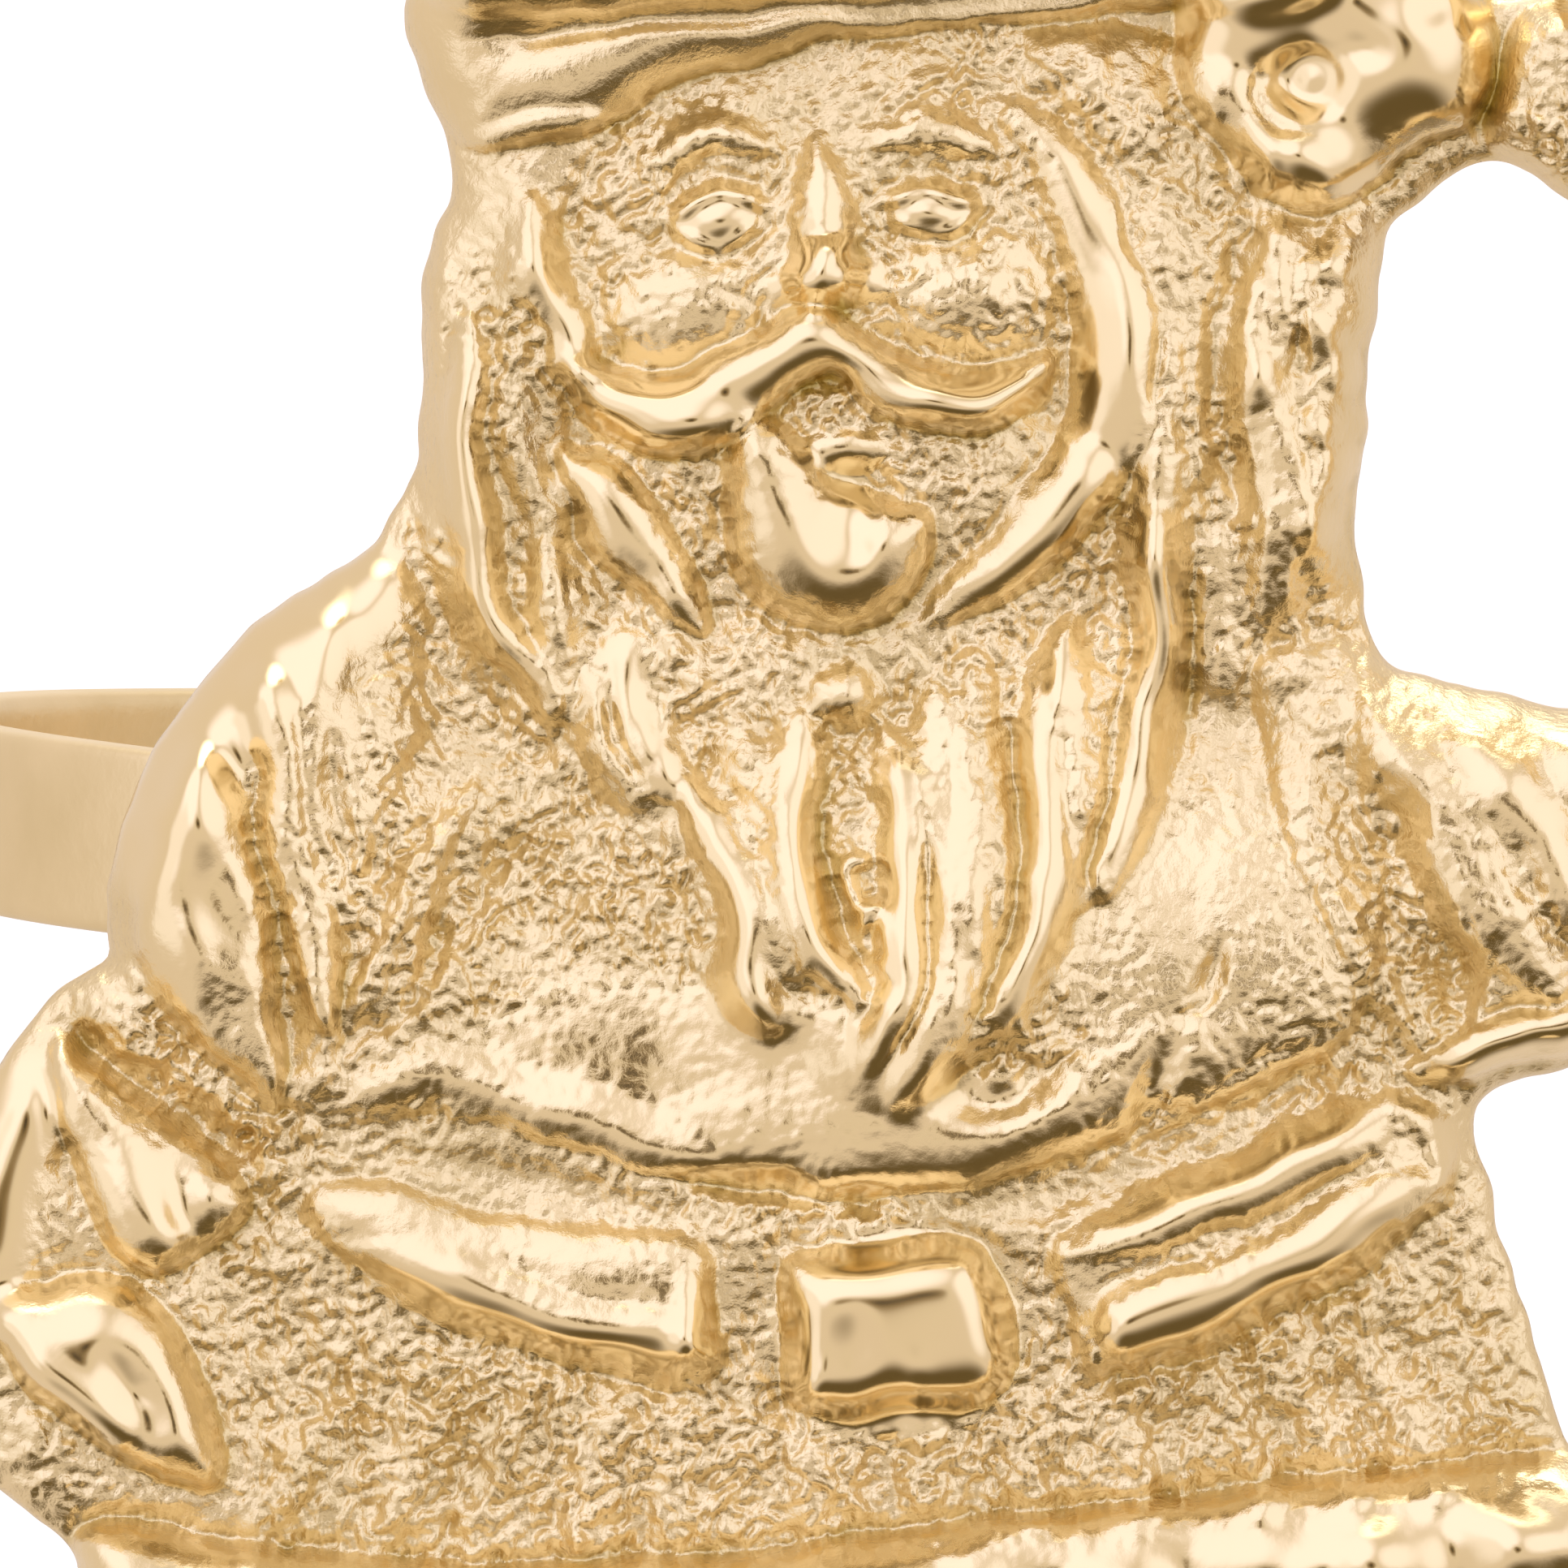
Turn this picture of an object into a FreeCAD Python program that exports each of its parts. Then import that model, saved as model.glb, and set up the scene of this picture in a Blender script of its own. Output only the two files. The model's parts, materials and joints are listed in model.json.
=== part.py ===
import FreeCAD, Part
import math
import os
import Sketcher

V = FreeCAD.Vector
RIDGE_CENTRE = 2.3
doc = FreeCAD.newDocument("napkin_ring")

# --- Driving dimensions, in millimetres and degrees -------------------------------------------
# The "_top" cells are heights of the relief above the flat back of the casting.
CELLS = [
    ("band_outer_radius", 23.5),
    ("band_bore_radius", 22.0),
    ("band_height", 4.5),
    ("band_edge_round", 0.4),
    ("back_offset", 23.2),
    ("figure_lean", 6.4),
    ("braze_reach", 2.6),
    ("braze_bead", 1.0),
    ("relief_root", 0.6),
    ("plate_top", 2.1),
    ("coat_top", 2.5),
    ("sack_top", 2.8),
    ("sleeve_top", 2.9),
    ("hair_top", 2.9),
    ("boot_top", 2.9),
    ("cap_top", 3.0),
    ("beard_top", 3.1),
    ("mitten_top", 3.1),
    ("cuff_top", 3.3),
    ("fold_top", 3.4),
    ("hem_top", 3.5),
    ("belt_top", 3.6),
    ("brim_top", 3.7),
    ("moustache_top", 3.9),
    ("buckle_top", 4.1),
    ("buckle_width", 5.2),
    ("buckle_height", 3.9),
    ("bobble_radius", 3.5),
    ("nose_radius", 1.0),
    ("cheek_radius", 1.9),
    ("belly_radius", 11.5),
]

dims = doc.addObject("Spreadsheet::Sheet", "dims")
for row, (alias, value) in enumerate(CELLS, start=1):
    dims.set("A%d" % row, alias)
    dims.set("B%d" % row, str(value))
    dims.setAlias("B%d" % row, alias)
doc.recompute()


# --- Helpers ----------------------------------------------------------------------------------
def new_body(label):
    body = doc.addObject("PartDesign::Body", label)
    body.Label = label
    return body


def new_sketch(body, name, role):
    """A sketch on one of the body's own origin planes."""
    sketch = body.newObject("Sketcher::SketchObject", name)
    planes = [f for f in body.Origin.OriginFeatures if f.Role == role]
    sketch.AttachmentSupport = [(planes[0], "")]
    sketch.MapMode = "FlatFace"
    return sketch


def rectangle(sketch, left, right, bottom, top):
    """A rectangle whose sides are bound to expressions, measured from the sketch's origin."""
    corners = [V(0, 0, 0), V(1, 0, 0), V(1, 1, 0), V(0, 1, 0)]
    for start, end in zip(corners, corners[1:] + corners[:1]):
        sketch.addGeometry(Part.LineSegment(start, end), False)
    for line in range(4):
        sketch.addConstraint(Sketcher.Constraint("Coincident", line, 2, (line + 1) % 4, 1))
        sketch.addConstraint(Sketcher.Constraint(("Horizontal", "Vertical")[line % 2], line))
    sides = [("left", "DistanceX", 0, left), ("bottom", "DistanceY", 0, bottom)]
    sides += [("right", "DistanceX", 2, right), ("top", "DistanceY", 2, top)]
    for name, kind, line, expression in sides:
        number = sketch.addConstraint(Sketcher.Constraint(kind, -1, 1, line, 1, 1.0))
        sketch.renameConstraint(number, name)
        sketch.setExpression("Constraints." + name, expression)
    doc.recompute()


def smooth_outline(points):
    """A closed smooth curve through the points, given as (across, up) pairs."""
    curve = Part.BSplineCurve()
    curve.interpolate(Points=[V(x, y, 0) for x, y in points], PeriodicFlag=True)
    return curve


def straight_outline(points):
    """The sides of a closed outline of straight lines between the points."""
    corners = [V(x, y, 0) for x, y in points]
    return [Part.LineSegment(a, b) for a, b in zip(corners, corners[1:] + corners[:1])]


def mirrored(points):
    """The same outline on the other side of the figure's middle line."""
    return [(-x, y) for x, y in reversed(points)]


def pad(body, name, points, top):
    """Raises a straight-sided outline, rooted inside the plate, to the height in the cell called top."""
    sketch = new_sketch(body, name + "_sketch", "XY_Plane")
    sketch.setExpression("AttachmentOffset.Base.z", "dims.relief_root")
    for side in straight_outline(points):
        sketch.addGeometry(side, False)
    feature = body.newObject("PartDesign::Pad", name)
    feature.Refine = False
    feature.Profile = sketch
    feature.setExpression("Length", "dims.%s - dims.relief_root" % top)
    doc.recompute()
    return feature


def dome(body, name, place, radii, turn=0.0):
    """A rounded swelling at (across, up, height); a radius is a number or an expression."""
    feature = body.newObject("PartDesign::AdditiveEllipsoid", name)
    feature.Refine = False
    feature.Placement = FreeCAD.Placement(V(*place), FreeCAD.Rotation(V(0, 0, 1), turn))
    for prop, radius in zip(("Radius2", "Radius3", "Radius1"), radii):
        if isinstance(radius, str):
            feature.setExpression(prop, radius)
        else:
            setattr(feature, prop, radius)
    doc.recompute()
    return feature


def ridge(body, name, start, end, width):
    """A long low dome from start to end, such as a fold of cloth or a lock of hair."""
    run = V(end[0] - start[0], end[1] - start[1], 0)
    middle = ((start[0] + end[0]) / 2, (start[1] + end[1]) / 2, RIDGE_CENTRE)
    turn = math.degrees(math.atan2(run.y, run.x))
    dome(body, name, middle, (run.Length / 2, width / 2, "dims.fold_top - %s" % RIDGE_CENTRE), turn)


# --- Band: a turned ring with softly rounded edges --------------------------------------------
ring_band = new_body("ring_band")
band_section = new_sketch(ring_band, "band_section", "XZ_Plane")
rectangle(
    band_section,
    "dims.band_bore_radius",
    "dims.band_outer_radius",
    "-dims.band_height / 2",
    "dims.band_height / 2",
)
band_turned = ring_band.newObject("PartDesign::Revolution", "band_turned")
band_turned.Profile = band_section
band_turned.ReferenceAxis = (band_section, ["V_Axis"])
band_turned.Angle = 360
doc.recompute()
round_edges = []
for number, edge in enumerate(band_turned.Shape.Edges, start=1):
    if isinstance(edge.Curve, Part.Circle):
        round_edges.append("Edge%d" % number)
band_softened = ring_band.newObject("PartDesign::Fillet", "band_softened")
band_softened.Base = (band_turned, round_edges)
band_softened.setExpression("Radius", "dims.band_edge_round")
doc.recompute()


# --- Figure: one casting with a flat back, modelled lying on it --------------------------------
# Across is to the right seen from the front, up is towards the cap, and height is the relief.
figure = new_body("figure_body")

SILHOUETTE = [
    (0.0, 30.0), (-4.6, 28.0), (-7.8, 24.8), (-9.6, 21.6), (-8.7, 18.4), (-9.5, 15.5),
    (-10.0, 12.0), (-11.3, 9.2), (-14.2, 7.4), (-16.7, 4.8), (-17.9, 1.8), (-18.3, -0.4),
    (-20.4, -2.0), (-22.2, -5.4), (-22.8, -9.5), (-21.7, -12.9), (-20.6, -15.2), (-19.4, -17.8),
    (-15.0, -19.2), (-14.2, -21.5), (-14.8, -24.4), (-12.4, -26.0), (-7.0, -26.1), (-1.9, -25.8),
    (0.0, -24.4), (1.9, -25.8), (7.0, -26.1), (12.4, -26.0), (14.8, -24.4), (14.2, -21.5),
    (15.0, -18.9), (17.3, -17.0), (16.2, -13.6), (15.2, -10.2), (14.3, -6.2), (16.6, -4.9),
    (19.8, -4.0), (22.3, -1.4), (23.3, 3.0), (23.1, 8.6), (22.8, 13.4), (23.8, 16.4),
    (23.6, 19.6), (23.3, 22.6), (22.4, 25.6), (20.4, 26.6), (18.6, 25.2), (17.6, 22.4),
    (15.8, 21.4), (13.6, 22.4), (11.0, 24.6), (8.0, 27.6), (4.2, 29.7),
]
plate_sketch = new_sketch(figure, "plate_sketch", "XY_Plane")
plate_sketch.addGeometry(smooth_outline(SILHOUETTE), False)
plate = figure.newObject("PartDesign::Pad", "plate")
plate.Refine = False
plate.Profile = plate_sketch
plate.setExpression("Length", "dims.plate_top")
doc.recompute()

# The gap between the hair and the raised arm goes right through.
ARM_GAP = [
    (13.1, 14.7), (15.4, 16.1), (17.6, 15.3), (18.5, 12.4), (18.4, 8.0), (17.6, 4.4),
    (15.3, 3.9), (13.1, 4.9), (12.1, 7.0), (12.3, 10.8),
]
COAT = [
    (-9.5, 6.0), (-12.6, 2.0), (-14.4, -4.0), (-15.6, -9.6), (-18.4, -14.6), (-8.0, -15.6),
    (2.0, -15.4), (15.4, -14.6), (14.2, -9.0), (13.2, -4.4), (12.2, 0.0), (11.4, 5.0), (1.0, 7.5),
]
pad(figure, "coat", COAT, "coat_top")
dome(figure, "belly", (-0.4, -5.0, 1.7), ("dims.belly_radius", 8.6, 1.5))

SACK = [
    (-20.2, -5.6), (-18.0, -7.6), (-16.4, -9.8), (-16.2, -12.2), (-18.6, -13.6), (-21.0, -12.4),
    (-22.1, -9.4), (-21.7, -6.6),
]
pad(figure, "sack", SACK, "sack_top")

HEM = [
    (-19.8, -14.4), (-14.6, -14.7), (-8.0, -15.4), (-2.0, -15.2), (5.6, -14.7), (15.8, -14.3),
    (16.8, -16.0), (15.6, -18.2), (8.0, -18.9), (0.0, -19.2), (-8.0, -19.1), (-16.6, -18.4),
    (-19.4, -16.8),
]
pad(figure, "hem", HEM, "hem_top")

BOOT = [
    (-13.4, -18.6), (-13.5, -21.8), (-14.1, -24.2), (-12.2, -25.5), (-7.0, -25.6), (-2.2, -25.2),
    (-1.3, -22.6), (-1.6, -18.8), (-7.5, -18.2),
]
pad(figure, "boot_left", BOOT, "boot_top")
pad(figure, "boot_right", mirrored(BOOT), "boot_top")
for name, side in (("toe_left", -1), ("toe_right", 1)):
    dome(figure, name, (side * 7.4, -23.4, 2.1), (4.6, 2.0, 1.6))

# Sleeves, cuffs and mittens: one arm hangs down to the sack, the other is raised.
SLEEVE_LEFT = [
    (-10.4, 7.2), (-13.6, 6.7), (-16.1, 4.3), (-17.2, 1.2), (-17.2, -1.4), (-14.8, -3.8),
    (-12.8, -2.0), (-11.8, 1.6), (-10.4, 4.4),
]
SLEEVE_RIGHT = [
    (10.6, 4.8), (13.6, 3.8), (16.6, 3.2), (18.6, 4.6), (19.2, 9.6), (19.2, 14.4), (22.2, 14.2),
    (22.5, 8.4), (22.6, 2.4), (21.4, -1.6), (18.4, -3.6), (14.8, -4.9), (12.4, -3.0), (11.2, 1.0),
]
pad(figure, "sleeve_left", SLEEVE_LEFT, "sleeve_top")
pad(figure, "sleeve_right", SLEEVE_RIGHT, "sleeve_top")
FOLDS = [
    ((-16.8, 3.8), (-14.2, -3.0), 2.0),
    ((-13.7, 6.0), (-12.9, -1.6), 1.5),
    ((-11.4, 6.4), (-11.0, 1.6), 1.0),
    ((12.4, 3.0), (13.9, -3.4), 1.3),
    ((14.3, 2.8), (17.4, -2.8), 1.4),
    ((16.9, 2.2), (20.3, -0.9), 1.3),
    ((19.4, 4.7), (22.0, 4.3), 1.2),
    ((19.6, 9.0), (22.1, 8.6), 1.2),
]
for number, (start, end, width) in enumerate(FOLDS, start=1):
    ridge(figure, "fold_%d" % number, start, end, width)
CUFF_LEFT = [(-18.8, -1.4), (-17.2, -0.7), (-15.4, -2.4), (-13.9, -4.2), (-14.8, -5.6), (-17.0, -3.8)]
CUFF_RIGHT = [
    (17.2, 15.8), (19.6, 14.8), (22.6, 15.0), (23.3, 17.4), (22.9, 19.6), (20.2, 20.2), (17.4, 19.8),
    (16.4, 18.0),
]
pad(figure, "cuff_left", CUFF_LEFT, "cuff_top")
pad(figure, "cuff_right", CUFF_RIGHT, "cuff_top")
MITTEN_LEFT = [(-19.4, -2.6), (-17.4, -3.4), (-15.3, -5.6), (-16.0, -7.4), (-18.2, -7.2), (-20.2, -5.0)]
MITTEN_RIGHT = [
    (18.6, 19.6), (18.3, 22.4), (19.0, 24.8), (20.6, 26.1), (22.0, 25.2), (22.8, 22.4), (22.6, 19.8),
]
pad(figure, "mitten_left", MITTEN_LEFT, "mitten_top")
pad(figure, "mitten_right", MITTEN_RIGHT, "mitten_top")
dome(figure, "knuckles_left", (-17.6, -5.2, 2.2), (1.5, 1.4, 1.6))
dome(figure, "sack_neck", (-18.6, -9.9, 2.0), (1.8, 2.3, 1.6))
dome(figure, "palm_right", (20.6, 22.6, 2.2), (1.8, 2.8, 1.5))

# Hair, beard and face. The beard hangs in long locks over the belly.
HAIR = [
    (-8.4, 18.4), (-9.0, 15.0), (-9.5, 11.6), (-9.4, 8.2), (-7.4, 5.4), (-4.0, 7.0), (4.0, 7.0),
    (8.6, 5.6), (11.4, 7.0), (11.7, 11.0), (12.5, 15.2), (10.4, 18.2), (6.0, 20.4), (-2.0, 20.0),
]
pad(figure, "hair", HAIR, "hair_top")
BEARD = [
    (-6.4, 11.4), (-7.0, 7.4), (-6.2, 3.4), (-3.6, -0.8), (0.0, -4.6), (3.2, -1.6), (5.8, 2.6),
    (7.2, 7.6), (6.9, 11.8), (4.0, 8.2), (0.0, 6.4), (-3.6, 7.8),
]
pad(figure, "beard", BEARD, "beard_top")
LOCKS = [
    ((-8.8, 14.6), (-8.2, 4.9), 0.9),
    ((-6.2, 9.6), (-4.4, 1.2), 0.9),
    ((-4.2, 6.4), (-2.4, -1.8), 0.9),
    ((-2.2, 6.0), (-0.8, -3.0), 0.8),
    ((0.4, 5.8), (0.3, -4.0), 0.8),
    ((2.8, 5.8), (1.5, -2.6), 0.8),
    ((4.9, 7.4), (3.0, -0.8), 0.9),
    ((7.0, 10.4), (5.2, 1.6), 0.9),
    ((8.9, 14.6), (7.9, 4.6), 0.9),
    ((11.0, 15.6), (10.3, 7.0), 0.9),
]
for number, (start, end, width) in enumerate(LOCKS, start=1):
    ridge(figure, "lock_%d" % number, start, end, width)
dome(figure, "face", (0.0, 14.6, 1.6), (6.6, 5.4, 1.6))
for name, side in (("cheek_left", -1), ("cheek_right", 1)):
    dome(figure, name, (side * 3.2, 14.4, 2.3), ("dims.cheek_radius", "0.8 * dims.cheek_radius", 1.2))
dome(figure, "nose", (0.1, 15.2, 2.6), ("dims.nose_radius", "1.5 * dims.nose_radius", 1.3))
ridge(figure, "eyelid_left", (-4.0, 16.8), (-1.8, 16.9), 0.8)
ridge(figure, "eyelid_right", (1.9, 16.9), (4.1, 16.8), 0.8)
MOUSTACHE = [
    (0.0, 14.1), (1.7, 12.9), (3.4, 12.0), (5.8, 13.0), (4.6, 11.2), (2.6, 10.6), (0.8, 11.8),
    (0.0, 12.4), (-1.0, 11.8), (-3.0, 10.6), (-4.9, 11.2), (-6.1, 13.2), (-3.8, 12.1), (-1.8, 12.9),
]
pad(figure, "moustache", MOUSTACHE, "moustache_top")
dome(figure, "beard_tuft", (-0.1, 8.7, 2.2), (2.3, 2.3, 1.6))

# Cap: a soft cone that falls to one side and ends in a bobble, with a rolled brim.
CAP = [
    (-8.6, 21.2), (-7.0, 24.6), (-4.2, 27.3), (0.0, 29.2), (4.0, 28.9), (7.6, 26.9), (10.6, 24.0),
    (12.6, 21.2), (9.4, 20.6), (0.0, 21.4),
]
pad(figure, "cap", CAP, "cap_top")
dome(figure, "cap_crown", (0.6, 25.0, 1.7), (6.4, 3.4, 1.6))
BRIM = [
    (-9.1, 20.6), (-8.3, 18.8), (-5.6, 19.2), (-2.3, 20.1), (2.4, 20.6), (7.6, 20.7), (10.2, 21.6),
    (9.6, 24.0), (6.8, 24.3), (0.6, 24.0), (-4.6, 23.1), (-8.0, 22.4),
]
pad(figure, "brim", BRIM, "brim_top")
dome(figure, "bobble", (12.3, 18.9, 2.2), ("dims.bobble_radius", "dims.bobble_radius", 2.1))

# Belt and buckle. The belt dips to the buckle and stops just short of it on each side.
BELT_LEFT = [(-12.6, -5.9), (-8.4, -6.6), (-4.0, -7.8), (-4.1, -10.8), (-8.0, -9.8), (-12.4, -8.0)]
BELT_RIGHT = [(4.2, -7.8), (8.4, -6.9), (12.6, -5.6), (13.5, -8.2), (8.6, -10.2), (4.5, -11.4)]
pad(figure, "belt_left", BELT_LEFT, "belt_top")
pad(figure, "belt_right", BELT_RIGHT, "belt_top")
buckle_sketch = new_sketch(figure, "buckle_sketch", "XY_Plane")
rectangle(
    buckle_sketch,
    "0.2 - dims.buckle_width / 2",
    "0.2 + dims.buckle_width / 2",
    "-10.1 - dims.buckle_height / 2",
    "-10.1 + dims.buckle_height / 2",
)
buckle = figure.newObject("PartDesign::Pad", "buckle")
buckle.Refine = False
buckle.Profile = buckle_sketch
buckle.setExpression("Length", "dims.buckle_top")
doc.recompute()

arm_gap_sketch = new_sketch(figure, "arm_gap_sketch", "XY_Plane")
arm_gap_sketch.addGeometry(smooth_outline(ARM_GAP), False)
arm_gap = figure.newObject("PartDesign::Pocket", "arm_gap")
arm_gap.Refine = False
arm_gap.Profile = arm_gap_sketch
arm_gap.Type = 1
arm_gap.Midplane = True
doc.recompute()

# The figure stands up against the front of the band, facing -Y and leaning to the left.
lean = FreeCAD.Rotation(V(0, 1, 0), -dims.figure_lean)
upright = FreeCAD.Rotation(V(1, 0, 0), 90)
figure.Placement = FreeCAD.Placement(V(0, -dims.back_offset, 0), lean.multiply(upright))

# A shallow seat across the back takes the round of the band.
seat_tool = doc.addObject("Part::Cylinder", "seat_tool")
seat_tool.setExpression("Radius", "dims.band_outer_radius")
seat_tool.setExpression("Height", "dims.band_height")
seat_tool.setExpression("Placement.Base.z", "-dims.band_height / 2")
figure_casting = doc.addObject("Part::Cut", "figure_casting")
figure_casting.Label = "figure_casting"
figure_casting.Base = figure
figure_casting.Tool = seat_tool
figure_casting.Refine = False
doc.recompute()


# --- Braze: what is left of a small blank once the band and the casting are taken out of it -----
def braze(label, blank):
    """The part of the blank that lies between the band and the casting."""
    clear_of_band = doc.addObject("Part::Cut", label + "_clear_of_band")
    clear_of_band.Base = blank
    clear_of_band.Tool = ring_band
    fillet = doc.addObject("Part::Cut", label)
    fillet.Label = label
    fillet.Base = clear_of_band
    fillet.Tool = figure_casting
    doc.recompute()
    return fillet


# At each side it fills the narrow wedge between the flat back and the round of the band.
seat_half_width = math.sqrt(dims.band_outer_radius ** 2 - dims.back_offset ** 2)
inside_band = dims.band_outer_radius - 0.2
wedge_end = seat_half_width + dims.braze_reach
wedge_back = -math.sqrt(inside_band ** 2 - (wedge_end - 0.3) ** 2)
for label, side in (("braze_fillet_left", -1), ("braze_fillet_right", 1)):
    root = V(side * (seat_half_width - 0.4), -dims.back_offset, 0)
    toe = V(side * wedge_end, -dims.back_offset, 0)
    hollow = V(side * (wedge_end - 0.35), (wedge_back - dims.back_offset) / 2, 0)
    rise = V(side * (wedge_end - 0.3), wedge_back, 0)
    blank = new_body(label + "_blank")
    blank_sketch = new_sketch(blank, label + "_sketch", "XY_Plane")
    for edge in (Part.LineSegment(root, toe), Part.Arc(toe, hollow, rise), Part.LineSegment(rise, root)):
        blank_sketch.addGeometry(edge, False)
    blank_pad = blank.newObject("PartDesign::Pad", label + "_pad")
    blank_pad.Profile = blank_sketch
    blank_pad.setExpression("Length", "dims.band_height - 2 * dims.band_edge_round")
    blank_pad.Midplane = True
    doc.recompute()
    braze(label, blank)

# Above and below, a bead runs along the rounded rim of the band, over the width of the seat.
bead_angle = 2 * math.degrees(math.asin((seat_half_width - 0.25) / dims.band_outer_radius))
for label, side in (("braze_fillet_bottom", -1), ("braze_fillet_top", 1)):
    rim = side * dims.band_height / 2
    reach = side * dims.braze_bead
    low = V(dims.band_outer_radius, rim - side * (dims.band_edge_round + 0.05), 0)
    high = V(dims.band_outer_radius, rim + reach, 0)
    hollow = V(dims.band_outer_radius - 0.4 * dims.braze_bead, rim + 0.3 * reach, 0)
    inner = V(dims.band_outer_radius - 1.15 * dims.braze_bead, rim - side * 0.02, 0)
    blank = new_body(label + "_blank")
    blank_sketch = new_sketch(blank, label + "_sketch", "XZ_Plane")
    for edge in (Part.LineSegment(low, high), Part.Arc(high, hollow, inner), Part.LineSegment(inner, low)):
        blank_sketch.addGeometry(edge, False)
    blank_turned = blank.newObject("PartDesign::Revolution", label + "_turned")
    blank_turned.Profile = blank_sketch
    blank_turned.ReferenceAxis = (blank_sketch, ["V_Axis"])
    blank_turned.Angle = bead_angle
    blank_turned.Midplane = True
    blank.Placement.Rotation = FreeCAD.Rotation(V(0, 0, 1), -90)
    doc.recompute()
    braze(label, blank)


# --- Check and write --------------------------------------------------------------------------
NODES = [
    "figure_casting",
    "ring_band",
    "braze_fillet_left",
    "braze_fillet_right",
    "braze_fillet_top",
    "braze_fillet_bottom",
]
doc.recompute()
for thing in doc.Objects:
    if "Invalid" in thing.State or "Error" in thing.State:
        raise RuntimeError("%s failed: %s" % (thing.Label, thing.State))
os.makedirs("parts", exist_ok=True)
for label in NODES:
    shape = doc.getObjectsByLabel(label)[0].Shape
    if shape.isNull() or not shape.isValid() or not shape.Solids:
        raise RuntimeError("%s has no valid solid" % label)
    box = shape.BoundBox
    print("%-20s %d solid(s) %9.3f mm3" % (label, len(shape.Solids), shape.Volume), box)
    shape.exportStep("parts/%s.step" % label)
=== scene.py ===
import bpy
import json
import math
import numpy as np
from mathutils import Matrix, Vector
from mathutils.geometry import delaunay_2d_cdt


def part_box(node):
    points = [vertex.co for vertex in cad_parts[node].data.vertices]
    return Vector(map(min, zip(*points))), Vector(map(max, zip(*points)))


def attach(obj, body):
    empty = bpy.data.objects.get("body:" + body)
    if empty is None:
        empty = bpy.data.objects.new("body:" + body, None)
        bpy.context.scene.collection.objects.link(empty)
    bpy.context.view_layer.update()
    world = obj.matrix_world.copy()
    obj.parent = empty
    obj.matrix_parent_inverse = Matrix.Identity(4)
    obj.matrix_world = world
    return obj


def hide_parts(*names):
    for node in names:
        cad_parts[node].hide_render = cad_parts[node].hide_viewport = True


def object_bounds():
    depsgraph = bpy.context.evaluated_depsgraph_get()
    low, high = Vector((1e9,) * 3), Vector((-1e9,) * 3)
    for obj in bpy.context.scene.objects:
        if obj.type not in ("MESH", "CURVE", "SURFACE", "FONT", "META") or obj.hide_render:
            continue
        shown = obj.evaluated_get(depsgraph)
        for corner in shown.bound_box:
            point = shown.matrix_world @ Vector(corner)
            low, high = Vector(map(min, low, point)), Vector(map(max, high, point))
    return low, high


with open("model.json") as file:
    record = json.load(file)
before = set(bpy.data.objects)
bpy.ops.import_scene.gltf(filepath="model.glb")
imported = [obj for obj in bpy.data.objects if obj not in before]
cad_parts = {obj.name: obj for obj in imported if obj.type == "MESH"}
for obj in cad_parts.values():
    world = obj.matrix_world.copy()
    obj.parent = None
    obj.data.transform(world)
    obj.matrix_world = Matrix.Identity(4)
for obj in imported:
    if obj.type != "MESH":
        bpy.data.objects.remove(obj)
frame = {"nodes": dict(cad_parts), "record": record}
cad_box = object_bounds()

# ---- Camera ------------------------------------------------------------------------------------
# A long lens a little above the band, rolled slightly, close on the chest of the figure. Sizes here
# and in every section are in millimetres, and MM turns them into the metres of the mesh.
MM = 0.001
SENSOR = 36.0
LENS_DISTANCE = 576.0
FIELD = 37.15
LOOK_DOWN = math.radians(3.07)
ROLL = math.radians(2.87)
AIM_RIGHT = -1.85
AIM_UP = 2.81
AIM_DEPTH = 1.8
back_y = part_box("figure_casting")[1][1] / MM
towards_camera = Vector((0.0, -math.cos(LOOK_DOWN), math.sin(LOOK_DOWN)))
level_right = Vector((1.0, 0.0, 0.0))
level_up = towards_camera.cross(level_right)
camera_right = level_right * math.cos(ROLL) + level_up * math.sin(ROLL)
camera_up = level_up * math.cos(ROLL) - level_right * math.sin(ROLL)
aim = Vector((0.0, back_y - AIM_DEPTH, 0.0)) + camera_right * AIM_RIGHT + camera_up * AIM_UP
camera_data = bpy.data.cameras.new("camera")
camera_data.sensor_width = SENSOR
camera_data.lens = SENSOR * LENS_DISTANCE / FIELD
camera_data.clip_start = 0.01
camera_data.clip_end = 50.0
camera = bpy.data.objects.new("camera", camera_data)
bpy.context.scene.collection.objects.link(camera)
turn = Matrix((camera_right, camera_up, towards_camera)).transposed().to_4x4()
camera.matrix_world = Matrix.Translation((aim + towards_camera * LENS_DISTANCE) * MM) @ turn
bpy.context.scene.camera = camera
bpy.context.scene.view_settings.view_transform = "Standard"


# ---- Floor and light ---------------------------------------------------------------------------
# A wide pale floor and a bright, even room. The room is a little darker around the camera, as the
# space behind a camera is, so polished metal has something to reflect.
def mesh_object(name, points, faces, material):
    """A smooth mesh from an array of points in millimetres and a list of faces, at the origin."""
    mesh = bpy.data.meshes.new(name)
    mesh.from_pydata((np.asarray(points) * MM).tolist(), [], faces)
    mesh.shade_smooth()
    mesh.materials.append(material)
    thing = bpy.data.objects.new(name, mesh)
    bpy.context.scene.collection.objects.link(thing)
    return thing


def plain_material(name, colour, roughness):
    """One colour and one roughness all over."""
    material = bpy.data.materials.new(name)
    material.use_nodes = True
    shader = material.node_tree.nodes["Principled BSDF"]
    shader.inputs["Base Color"].default_value = (*colour, 1.0)
    shader.inputs["Roughness"].default_value = roughness
    return material


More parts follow.
